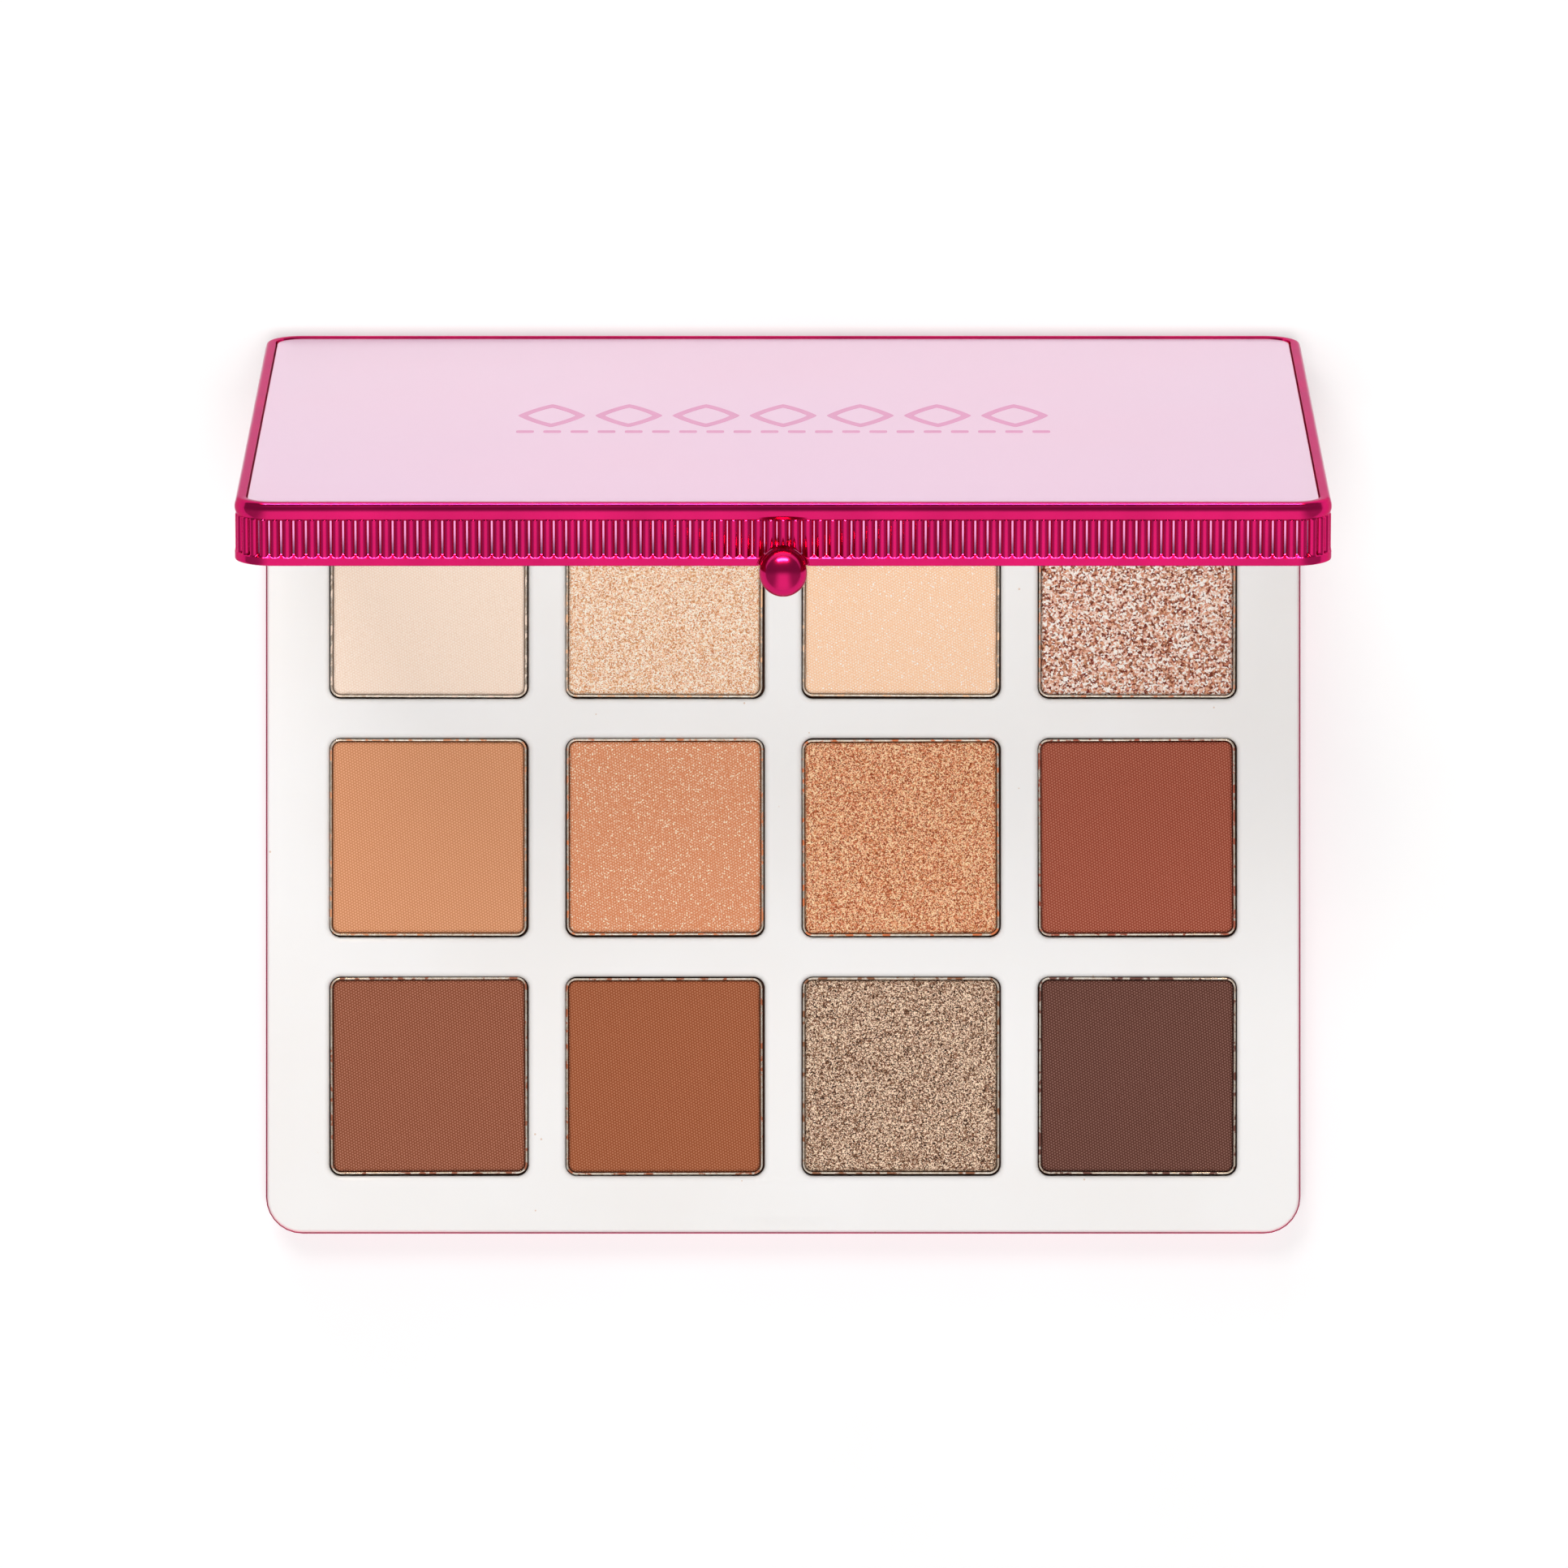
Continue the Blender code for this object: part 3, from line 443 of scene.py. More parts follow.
panelLook = {
    "tint": "#ebc3dc", "tintDeep": "#e8c1dc", "roughness": 0.34, "shineRange": (0.9, 1.1),
    "coat": 0.15, "coatRoughness": 0.12, "cloudSize": 38.0, "cloudDetail": 2.0, "peelSize": 1.6,
    "peelStrength": 0.05, "peelHeight": 0.15, "speckSpacing": 2.1, "speckSize": 0.035,
    "speckStrength": 0.5, "speckColour": "#d9b4cf",
}


def paleLacquer(name, look):
    # Injection-moulded plastic with a pearl-pink lacquer: soft gloss, slow drift of tint, faint peel and a
    # few dust specks.
    made, add, shader, _ = newMaterial(name)
    tint, shine, bump = lacquered(add, look)
    cells = add("TexVoronoi", every=look["speckSpacing"])["Distance"]
    spot = add("Math", {0: cells, 1: look["speckSize"]}, operation="LESS_THAN")[0]
    faint = add("Math", {0: spot, 1: look["speckStrength"]}, operation="MULTIPLY")[0]
    specked = add("Mix", {0: faint, 6: tint, 7: toLinear(look["speckColour"])}, data_type="RGBA")[2]
    fill(shader, {
        "Base Color": specked,
        "Roughness": shine,
        "Normal": bump,
        "Coat Weight": look["coat"],
        "Coat Roughness": look["coatRoughness"],
    })
    return made


panel = {"inset": 1.5, "low": 14.55, "high": 15.5, "edge": 0.16}
pinkLacquer = paleLacquer("pearlPinkLacqueredPlastic", panelLook)
panelProfile = [(panel["inset"] + 0.05, panel["low"]), (panel["inset"], panel["low"] + 0.05)]
panelProfile += [(panel["inset"] + inset, panel["high"] - drop) for inset, drop in quarter(panel["edge"], 5)]
panelPoints, panelFaces = caseLoft(panelProfile, straight=8, bend=18)
lidPanel = buildPiece("lidPanel", opened(panelPoints), panelFaces, pinkLacquer, 30.0)
settle(lidPanel, "lid_panel", "lid")


ornament = {
    "thick": 0.03, "count": 7, "around": 64, "gap": 9.2, "wide": 4.0, "high": 6.8,
    "line": (1.15, 2.0), "middle": 1.6, "dashes": 20, "dashSize": (1.05, 0.7), "dashDrop": 9.6,
}


def flatOutline(outer, inner, low, high):
    # A thin plate between an outer and an inner loop of (x, y) points.
    rings = [(outer, low), (outer, high), (inner, high), (inner, low)]
    return loft([atHeight(ring, z) for ring, z in rings], closeRows=True, capped=False)


def lozenge(x, y, wide, high):
    # A diamond with slightly hollowed sides: its half sizes times the cosine and the sine of the angle, each
    # to the power 1.7.
    angle = np.linspace(0, 2 * math.pi, ornament["around"], endpoint=False)
    shape = [np.sign(wave) * np.abs(wave) ** 1.7 for wave in (np.cos(angle), np.sin(angle))]
    return np.column_stack([x + wide * shape[0], y + high * shape[1]])


def lidOrnament():
    # A plain row of hollow lozenges over a row of short dashes, printed in foil.
    low = panel["high"] - 0.01
    top, middle = low + ornament["thick"], ornament["middle"]
    wide, high = ornament["wide"], ornament["high"]
    solids = []
    for index in range(ornament["count"]):
        x = (index - (ornament["count"] - 1) / 2) * ornament["gap"]
        inner = lozenge(x, middle, wide - ornament["line"][0], high - ornament["line"][1])
        solids.append(flatOutline(lozenge(x, middle, wide, high), inner, low, top))
    span = (ornament["count"] - 1) * ornament["gap"] + 2 * wide
    for x in np.linspace(-span / 2 + 1.0, span / 2 - 1.0, ornament["dashes"]):
        solids.append(caseLoft([(0.0, low), (0.0, top)], (x, middle - ornament["dashDrop"]),
                               *ornament["dashSize"], 0.3, 2, 3))
    return joinSolids(solids)


foilLook = dict(panelLook, tint="#d96cad", tintDeep="#d466a7", speckColour="#d96cad")
foilLook.update(roughness=0.3, coat=0.2)
roseFoil = paleLacquer("rosePrintedFoil", foilLook)
ornamentPoints, ornamentFaces = lidOrnament()
lidFoil = buildPiece("lidFoilOrnament", opened(ornamentPoints), ornamentFaces, roseFoil)
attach(lidFoil, "lid")
print("stage: lid panel")


ball = {
    "radius": 2.75, "out": 3.05, "z": 8.18, "stemZ": 9.6,
    "stem": [(0.9, 1.58), (0.9, 0.75), (1.15, 0.7), (1.15, 0.62), (1.0, 0.5), (0.9, 0.35), (0.9, -2.4)],
    "around": 96, "down": 48, "stemAround": 40,
}


def claspBall():
    # A sphere closed at its poles by small fans, and a round stem that flares where it meets the seat, turned
    # from its list of (radius, distance in from the case's front).
    polar = np.linspace(0.0, math.pi, ball["down"] + 1)[1:-1]
    turn = np.linspace(0.0, 2 * math.pi, ball["around"], endpoint=False)
    r, middle = ball["radius"], np.array([0.0, -case["depth"] / 2 - ball["out"], ball["z"]])
    wheel = np.column_stack([np.cos(turn), np.sin(turn)])
    rings, quads = loft([atHeight(r * math.sin(a) * wheel, -r * math.cos(a)) for a in polar], capped=False)
    points = np.concatenate([rings, [[0, 0, -r], [0, 0, r]]]) + middle
    n, rows = ball["around"], len(polar)
    low, high = rows * n, rows * n + 1
    j = np.arange(n)
    bottomFan = np.column_stack([np.full(n, low), (j + 1) % n, j])
    topFan = np.column_stack([(rows - 1) * n + j, (rows - 1) * n + (j + 1) % n, np.full(n, high)])
    sphere = points, [*quads, bottomFan, topFan]
    angle = np.linspace(0.0, 2 * math.pi, ball["stemAround"], endpoint=False)
    level = np.full(len(angle), -case["depth"] / 2)
    stem = loft([
        np.column_stack([radius * np.cos(angle), level + inward, ball["stemZ"] + radius * np.sin(angle)])
        for radius, inward in ball["stem"]
    ])
    return joinSolids([sphere, stem])


ballLook = dict(metalLook, roughness=0.2, peelStrength=0.02, coatRoughness=0.12)
ballPoints, ballFaces = claspBall()
magentaBead = metallisedPlastic("metallisedMagentaBead", ballLook)
claspBead = buildPiece("claspBall", opened(ballPoints), ballFaces, magentaBead)
settle(claspBead, "clasp_ball", "lid")
print("stage: clasp ball")


# The dark brown colour and its two heights paint shade low in the gaps, on the wells' walls.
trayLook = {
    "colour": "#f4f2f1", "colourWarm": "#f2efed", "roughness": 0.36, "dustColour": "#d9b79c",
    "dustSpacing": 2.6, "dustSize": 0.05, "dustPatch": 9.0, "dustFrom": 0.52, "flowSize": 24.0,
    "gapShadeColour": "#6b4636", "gapShadeFrom": 7.0, "gapShadeTo": 6.6, "grainSize": 0.22,
}


def paintedGapShade(add, place, colour, look):
    # Painted shade low in the gaps: the colour turns to a dark brown between two heights, where shade falls.
    height = add("SeparateXYZ", {0: place})["Z"]
    fall = {"Value": height, "From Min": look["gapShadeFrom"] * mm, "From Max": look["gapShadeTo"] * mm}
    deep = add("MapRange", fall)[0]
    return add("Mix", {0: deep, 6: colour, 7: toLinear(look["gapShadeColour"])}, data_type="RGBA")[2]


def whiteMoulding(name, look):
    # White styrene moulding: satin gloss with a spark-eroded grain, a few specks of fallen powder, and
    # painted shade, dark brown, deep in the gaps. The real grain is about 0.05 mm, and it is drawn coarser to
    # show.
    made, add, shader, place = newMaterial(name)
    flow = add("TexNoise", every=look["flowSize"])["Fac"]
    base = add("ValToRGB", {0: flow}, [(0.35, look["colourWarm"]), (0.65, look["colour"])])[0]
    cells = add("TexVoronoi", every=look["dustSpacing"])["Distance"]
    speck = add("Math", {0: cells, 1: look["dustSize"]}, operation="LESS_THAN")[0]
    patch = add("TexNoise", every=look["dustPatch"])["Fac"]
    cover = add("ValToRGB", {0: patch}, [(look["dustFrom"], 0.0), (look["dustFrom"] + 0.01, 0.7)])[0]
    dust = add("Math", {0: speck, 1: cover}, operation="MULTIPLY")[0]
    dusted = add("Mix", {0: dust, 6: base, 7: toLinear(look["dustColour"])}, data_type="RGBA")[2]
    grain = add("TexNoise", every=look["grainSize"])["Fac"]
    fill(shader, {
        "Base Color": paintedGapShade(add, place, dusted, look),
        "Roughness": look["roughness"],
        "Normal": add("Bump", {"Height": grain, "Strength": 0.06, "Distance": 0.05 * mm})[0],
        "IOR": 1.55,
        "Subsurface Weight": 0.08,
        "Subsurface Radius": (1.0 * mm, 0.9 * mm, 0.8 * mm),
    })
    return made


trayWhite = whiteMoulding("satinWhiteStyrene", trayLook)


tray = {
    "inset": 0.08, "rearInset": 1.7, "cornerRadius": 4.3, "under": 6.5, "edge": 0.5,
    "wellHalf": 12.22, "wellRadius": 1.4, "wellFloor": 4.0, "floorRound": 0.3,
    "floorThick": 1.0, "cupWall": 0.8, "mouthRound": 0.75, "reach": 4.2, "sideSteps": 6,
    "bendSteps": 16, "holeRadius": 2.0, "catchHalf": (7.0, 1.8), "catchRadius": 1.1,
    "catchSlope": 0.5, "catchY": -46.8, "catchDepth": 0.16,
}
cornerSigns = [(1, 1), (-1, 1), (-1, -1), (1, -1)]


def squareRing(halfX, halfY, radius, side, bend):
    # A rounded rectangle with the same count of points on every side and in every corner.
    arcs = []
    for turn, (sx, sy) in enumerate(cornerSigns):
        angle = (turn + np.linspace(0.0, 1.0, bend + 1)) * math.pi / 2
        centre = np.array([sx * (halfX - radius), sy * (halfY - radius)])
        arcs.append(centre + radius * np.column_stack([np.cos(angle), np.sin(angle)]))
    return walkRound(arcs, side)


def cornerRing(halfX, halfY, reach, side, bend):
    # The same walk with square corners: points crowd within reach of each corner, and one lies right on it.
    t = np.linspace(-1.0, 1.0, bend + 1)[:, None]
    arcs = []
    for turn, (sx, sy) in enumerate(cornerSigns):
        upright, level = np.array([0.0, -sy]), np.array([-sx, 0.0])
        before, after = (upright, level) if turn % 2 == 0 else (level, upright)
        arcs.append(np.array([sx * halfX, sy * halfY]) + np.where(t < 0, -t * before, t * after) * reach)
    return walkRound(arcs, side)


def walkRound(arcs, side):
    # Joins four corner runs with evenly spaced points along the sides between them.
    walked = []
    for index, arc in enumerate(arcs):
        step = np.linspace(0.0, 1.0, side + 2)[1:-1, None]
        walked += [arc, arc[-1] + (arcs[(index + 1) % 4][0] - arc[-1]) * step]
    return np.concatenate(walked)


def wellCell(centre):
    # One cell of the deck: from its square border over the rounded mouth, down to the floor, through the
    # round hole in it, and back up underneath.
    side, bend, well = tray["sideSteps"], tray["bendSteps"], tray["wellHalf"]
    deck, floor, under = case["deck"], tray["wellFloor"], tray["under"]
    wall, soft, below = tray["cupWall"], tray["floorRound"], floor - tray["floorThick"]
    border = cornerRing(case["columnPitch"] / 2, case["rowPitch"] / 2, tray["reach"], side, bend)
    hole = squareRing(*[tray["holeRadius"]] * 2, tray["holeRadius"] - 0.01, side, bend)

    def square(grow):
        return squareRing(well + grow, well + grow, tray["wellRadius"] + grow, side, bend)

    mouth = [(square(out), deck - drop) for out, drop in reversed(quarter(tray["mouthRound"], 8))]
    inside = [(square(0.0), floor + soft), (square(-soft), floor), (hole, floor), (hole, below)]
    outside = [(square(wall), below), (square(wall), under), (border, under)]
    rings = [atHeight(ring, z) for ring, z in [(border, deck), *mouth, *inside, *outside]]
    points, faces = loft(rings, capped=False)
    return points + np.array([*centre, 0.0]), faces


def wellCentres():
    columns = (np.arange(4) - 1.5) * case["columnPitch"]
    rows = case["frontRow"] + np.arange(3) * case["rowPitch"]
    return np.column_stack([axis.ravel() for axis in np.meshgrid(columns, rows)])


def trayMargin(cells):
    # From the block of cells out to the rounded edge. A border point is stretched to the outer rectangle, and
    # one that falls in a corner is drawn in along its ray to the corner's arc.
    halfX, halfY = 2 * case["columnPitch"], 1.5 * case["rowPitch"]
    middle = np.array([0.0, case["frontRow"] + case["rowPitch"]])
    top = np.concatenate([points for points, _ in cells])
    top = top[np.abs(top[:, 2] - case["deck"]) < 1e-6, :2] - middle
    onEdge = np.maximum(np.abs(top[:, 0]) / halfX, np.abs(top[:, 1]) / halfY) > 1 - 1e-6
    edge = np.unique(np.round(top[onEdge], 5), axis=0)
    edge = edge[np.argsort(np.arctan2(edge[:, 1] / halfY, edge[:, 0] / halfX))]
    front, rear = -case["depth"] / 2 + tray["inset"], case["depth"] / 2 - tray["rearInset"]
    wide, long, arc = case["width"] / 2 - tray["inset"], (rear - front) / 2, tray["cornerRadius"]

    def outer(inset):
        half = np.array([wide - inset, long - inset])
        stretched = edge / np.array([halfX, halfY]) * half
        radius = arc - inset
        over = np.maximum(np.abs(stretched) - (half - radius), 0.0)
        away = np.hypot(*over.T)[:, None]
        drawn = np.sign(stretched) * (half - radius + over / np.maximum(away, 1e-9) * radius)
        bent = np.where((over > 0).all(axis=1)[:, None], drawn, stretched)
        return bent + np.array([0.0, (front + rear) / 2])

    rings = [atHeight(edge + middle, tray["under"]), atHeight(outer(0.0), tray["under"])]
    rings += [atHeight(outer(inset), case["deck"] - drop) for inset, drop in quarter(tray["edge"], 7)]
    rings.append(atHeight(edge + middle, case["deck"]))
    return loft(rings, capped=False)


def catchCutter():
    # A shallow rounded dish with sloping sides, over the base's magnet.
    halfX, halfY = tray["catchHalf"]
    slope, deck = tray["catchSlope"], case["deck"]
    sections = [(0.0, deck - tray["catchDepth"]), (slope, deck), (slope, deck + 0.5)]
    rings = [
        atHeight(squareRing(halfX + grow, halfY + grow, tray["catchRadius"] + grow, 2, 8), z)
        + np.array([0.0, tray["catchY"], 0.0])
        for grow, z in sections
    ]
    return buildPiece("catchCutter", *loft(rings), trayWhite)


def makeTray():
    cells = [wellCell(centre) for centre in wellCentres()]
    points, faces = joinSolids([*cells, trayMargin(cells)])
    piece = buildPiece("panTray", points, faces, trayWhite)
    mergePoints(piece.data)
    cutter = catchCutter()
    dish = piece.modifiers.new("catchDish", "BOOLEAN")
    dish.operation = "DIFFERENCE"
    dish.solver = "EXACT"
    dish.object = cutter
    graph = bpy.context.evaluated_depsgraph_get()
    cut = bpy.data.meshes.new_from_object(piece.evaluated_get(graph))
    piece.modifiers.clear()
    piece.data = cut
    bpy.data.meshes.remove(cutter.data)
    cut.shade_smooth()
    cut.set_sharp_from_angle(angle=math.radians(40.0))
    evenShading(piece)
    return piece


panTray = makeTray()
settle(panTray, "pan_tray", "base")
print("stage: pan tray", len(panTray.data.polygons))


# Each shade's finish, its middle, low and high colours, and the width of its flakes in millimetres or, on a
# sparkle shade, the share of cells that hold a flake.
# On shimmer, glitter and sparkle shades the pale high colour also paints the flakes' glints.
shades = {
    "rear_1": ("satin", "#fae2cf", "#ecceb6", "#fff4ea", 0.0),
    "rear_2": ("shimmer", "#f8c59c", "#c9824e", "#fff8ea", 0.12),
    "rear_3": ("sparkle", "#fdd1ac", "#f2bb92", "#ffffff", 0.16),
    "rear_4": ("glitter", "#df9a78", "#6e2817", "#fff9f2", 0.22),
    "middle_1": ("matte", "#db9b74", "#c9835a", "#edb691", 0.0),
    "middle_2": ("sparkle", "#dc8c62", "#cc784c", "#fff8de", 0.42),
    "middle_3": ("shimmer", "#dc7f52", "#883816", "#ffdeb2", 0.12),
    "middle_4": ("matte", "#aa5e4a", "#8e402f", "#c47c67", 0.0),
    "front_1": ("matte", "#9d614a", "#7d422d", "#bd806a", 0.0),
    "front_2": ("matte", "#a76346", "#8d4a2c", "#c18261", 0.0),
    "front_3": ("shimmer", "#906146", "#2a140b", "#ffe4c8", 0.12),
    "front_4": ("matte", "#724b41", "#522f27", "#926b60", 0.0),
}

# The dark brown colour and its two heights paint shade low in the gaps, on the pans' outer walls.
panLook = {
    "tin": "#f7efe4", "tinDull": "#d8c4ae", "gapShadeColour": "#2c1914", "gapShadeFrom": 7.55,
    "gapShadeTo": 7.25, "roughness": 0.25, "streakSize": 0.5, "dustPatch": 1.1, "dustCover": 0.52,
}


def tinplate(name, look):
    # Bright tinned steel with drawn streaks, powder caught in patches along the rim, and painted shade, dark
    # brown, low in the gaps. Real drawing lines are under 0.1 mm apart, and they are drawn coarser to show.
    made, add, shader, place = newMaterial(name)
    dust = add("Attribute", attribute_name="dustTint")["Color"]
    patch = add("TexNoise", {"Detail": 4.0}, every=look["dustPatch"])["Fac"]
    cover = [(look["dustCover"], 0.0), (look["dustCover"] + 0.06, 1.0)]
    cover = add("ValToRGB", {0: patch}, cover)[0]
    streak = add("TexNoise", {"Detail": 3.0}, every=look["streakSize"])["Fac"]
    metal = add("ValToRGB", {0: streak}, [(0.3, look["tinDull"]), (0.7, look["tin"])])[0]
    shown = add("Mix", {0: cover, 6: metal, 7: dust}, data_type="RGBA")[2]
    soft = add("Math", {0: cover, 1: 0.5, 2: look["roughness"]}, operation="MULTIPLY_ADD")[0]
    fill(shader, {
        "Base Color": paintedGapShade(add, place, shown, look),
        "Metallic": add("Math", {0: 1.0, 1: cover}, operation="SUBTRACT")[0],
        "Roughness": soft,
        "Normal": add("Bump", {"Height": patch, "Strength": 0.25, "Distance": 0.05 * mm})[0],
    })
    return made


dustyTin = tinplate("drawnTinplateWithPowderDust", panLook)
pan = {
    "half": 12.06, "radius": 1.25, "tightest": 0.25, "wall": 0.25, "bottom": 4.1, "rim": 7.7,
    "steps": (10, 8), "lean": (-0.05, 0.05), "shift": 0.05, "turn": 0.22, "wobble": 0.02,
}


def panPlaces():
    # Each pan leans to its rear left and sits a hair off true: its shift and turn are sines of its number.
    found = []
    for row, rowName in enumerate(("rear", "middle", "front")):
        for column in range(4):
            number = row * 4 + column + 1
            x = (column - 1.5) * case["columnPitch"] + pan["lean"][0] + pan["shift"] * math.sin(2.3 * number)
            y = case["frontRow"] + (2 - row) * case["rowPitch"] + pan["lean"][1]
            y += pan["shift"] * math.cos(4.1 * number)
            turn = math.radians(pan["turn"]) * math.sin(5.7 * number)
            found.append((f"{rowName}_{column + 1}", x, y, turn, number))
    return found


def placed(points, x, y, turn):
    # Turns points about +Z and moves them to their well.
    px = points[:, 0] * math.cos(turn) - points[:, 1] * math.sin(turn) + x
    py = points[:, 0] * math.sin(turn) + points[:, 1] * math.cos(turn) + y
    return np.column_stack([px, py, points[:, 2]])


def panShell():
    # A drawn tray: rounded foot, upright wall, rim rolled as a half circle, and inner wall to the floor.
    half, radius, wall = pan["half"], pan["radius"], pan["wall"]
    roll = wall / 2
    profile = [(0.3, pan["bottom"]), (0.09, pan["bottom"] + 0.09), (0.0, pan["bottom"] + 0.3)]
    angle = np.linspace(0.0, math.pi, 9)
    profile += [(roll * (1 - math.cos(a)), pan["rim"] - roll * (1 - math.sin(a))) for a in angle]
    profile += [(wall, pan["bottom"] + 0.5), (wall + 0.15, pan["bottom"] + 0.36)]
    rings = []
    for inset, z in profile:
        bend = max(radius - inset, pan["tightest"])
        rings.append(atHeight(squareRing(half - inset, half - inset, bend, *pan["steps"]), z))
    return loft(rings)


panPoints, panFaces = panShell()
for name, x, y, turn, number in panPlaces():
    tint = np.tile(np.array(toLinear(shades[name][1])[:3]), (len(panPoints), 1))
    wobble = pan["wobble"] * np.sin(panPoints[:, :1] * 0.9 + number) * np.cos(panPoints[:, 1:2] * 0.7)
    shaped = placed(panPoints + wobble * np.array([0.0, 0.0, 1.0]), x, y, turn)
    made = buildPiece("pan_" + name + "_fine", shaped, panFaces, dustyTin, 60.0, {"dustTint": tint})
    settle(made, "pan_" + name, "base")
print("stage: pans")


powderLook = {
    "weavePitch": 0.3,
    "weaveTurn": 0.1,
    "weaveBump": 0.4,
    "dotShare": {"matte": 0.6, "satin": 0.3, "sparkle": 0.25},
    "fineGrain": 0.11,
    "sparkCell": 0.27,
    "flakeTilt": 0.5,
    "hueDrift": 0.02,
}


def pressedPowder(name, look, shade):
    # Pressed mineral powder with the press cloth's dots, three cosines at 60 degrees to each other, over a
    # fine grain. Satin shades keep only a trace of the dots, and sparkle shades hold scattered pale flakes,
    # painted up to near white as glints.
    # The cloth's threads are about 0.15 mm apart and the flakes under 0.1 mm, and both are drawn coarser to
    # show.
    made, add, shader, place = newMaterial(name)
    finish, middle, low, high, amount = shade
    fine = add("TexNoise", every=look["fineGrain"])["Fac"]
    k = 2 * math.pi / (look["weavePitch"] * mm)
    share = look["dotShare"][finish]
    texture = add("Math", {0: fine, 1: 1 - share, 2: share / 3}, operation="MULTIPLY_ADD")[0]
    for turn in (0, 1, 2):
        angle = look["weaveTurn"] + turn * math.pi / 3
        across = (k * math.cos(angle), k * math.sin(angle), 0.0)
        phase = add("VectorMath", {0: place, 1: across}, operation="DOT_PRODUCT")["Value"]
        wave = add("Math", {0: phase}, operation="COSINE")[0]
        texture = add("Math", {0: wave, 1: share / 4.5, 2: texture}, operation="MULTIPLY_ADD")[0]
    colour = add("ValToRGB", {0: texture}, [(0.2, low), (0.48, middle), (0.78, high)])[0]
    # Sparkle flakes mix toward the near-white high colour: real pale flakes with painted glints.
    if finish == "sparkle":
        cells = add("TexVoronoi", every=look["sparkCell"])
        chance = add("SeparateColor", {0: cells["Color"]})
        picked = add("Math", {0: chance["Red"], 1: amount}, operation="LESS_THAN")[0]
        reach = add("Math", {0: chance["Green"], 1: 0.24, 2: 0.16}, operation="MULTIPLY_ADD")[0]
        near = add("Math", {0: cells["Distance"], 1: reach}, operation="LESS_THAN")[0]
        shine = add("Math", {0: chance["Blue"], 1: 0.5, 2: 0.5}, operation="MULTIPLY_ADD")[0]
        flake = add("Math", {0: picked, 1: near}, operation="MULTIPLY")[0]
        flake = add("Math", {0: flake, 1: shine}, operation="MULTIPLY")[0]
        colour = add("Mix", {0: flake, 6: colour, 7: toLinear(high)}, data_type="RGBA")[2]
    dots = {"Height": texture, "Strength": look["weaveBump"], "Distance": 0.05 * mm}
    fill(shader, {
        "Base Color": colour,
        "Roughness": 0.9 if finish == "matte" else 0.6,
        "IOR": 1.45,
        "Specular IOR Level": 0.22,
        "Normal": add("Bump", dots)[0],
    })
    return made


def flakedPowder(name, look, shade):
    # Pearl flakes bound in powder: every cell is a flake with its own brightness, drift of hue and tilt to
    # the light, gathered in loose clusters. The brightness is partly the flakes' own tone and partly painted
    # glint, with the brightest cells near white. Real flakes are 0.02 to 0.1 mm, and are drawn coarser to
    # show.
    made, add, shader, place = newMaterial(name)
    middle, low, high, size = shade[1:]
    grain = size * mm
    warp = add("TexNoise", {"Vector": place, "Scale": 0.6 / grain, "Detail": 1.0})["Color"]
    moved = {0: warp, 1: (1.7 * grain,) * 3, 2: place}
    bent = add("VectorMath", moved, operation="MULTIPLY_ADD")[0]
    cells = add("TexVoronoi", {"Vector": bent, "Scale": 1 / grain})["Color"]
    flake = add("SeparateColor", {0: cells})
    small = add("TexVoronoi", {"Vector": bent, "Scale": 2.1 / grain})["Color"]
    cluster = add("TexNoise", {"Vector": place, "Scale": 0.4 / grain})["Fac"]
    tone = add("Math", {0: flake["Red"], 1: 0.74, 2: 0.0}, operation="MULTIPLY_ADD")[0]
    for part, weight in ((add("SeparateColor", {0: small})["Red"], 0.12), (cluster, 0.14)):
        tone = add("Math", {0: part, 1: weight, 2: tone}, operation="MULTIPLY_ADD")[0]
    # The ramp's pale top paints the glints of flakes that catch the light.
    colour = add("ValToRGB", {0: tone}, [(0.2, low), (0.47, middle), (0.78, high)])[0]
    drift = look["hueDrift"]
    hue = add("Math", {0: flake["Green"], 1: drift, 2: 0.5 - drift / 2}, operation="MULTIPLY_ADD")[0]
    tilt = look["flakeTilt"]
    lean = {0: cells, 1: (tilt, tilt, 0.0), 2: (-tilt / 2, -tilt / 2, 0.0)}
    lean = add("VectorMath", lean, operation="MULTIPLY_ADD")[0]
    facing = add("NewGeometry")["Normal"]
    turned = add("VectorMath", {0: facing, 1: lean}, operation="ADD")[0]
    fill(shader, {
        "Base Color": add("HueSaturation", {"Hue": hue, "Color": colour})[0],
        "Metallic": 0.04,
        "Roughness": 0.42,
        "IOR": 1.5,
        "Specular IOR Level": 0.3,
        "Normal": add("VectorMath", {0: turned}, operation="NORMALIZE")[0],
    })
    return made


cake = {
    "gap": 0.06,
    "bottom": 4.5,
    "top": 7.45,
    "round": 0.5,
    "crumble": 0.09,
    "fine": 96,
    "rough": {"glitter": 0.05, "shimmer": 0.02},
    "smooth": 0.006,
}


def noiseField(x, y, seed, size, octaves=3):
    # Smooth random height: a sum of sines in turned directions, each octave finer and weaker than the last.
    rng = np.random.default_rng(seed)
    total = np.zeros_like(x)
    for octave in range(octaves):
        for _ in range(5):
            angle = rng.uniform(0, 2 * math.pi)
            k = 2 * math.pi / (size / 1.9 ** octave) * rng.uniform(0.7, 1.3)
            along = x * math.cos(angle) + y * math.sin(angle)
            total += np.sin(k * along + rng.uniform(0, 6.28)) / (5 * 1.8 ** octave)
    return total


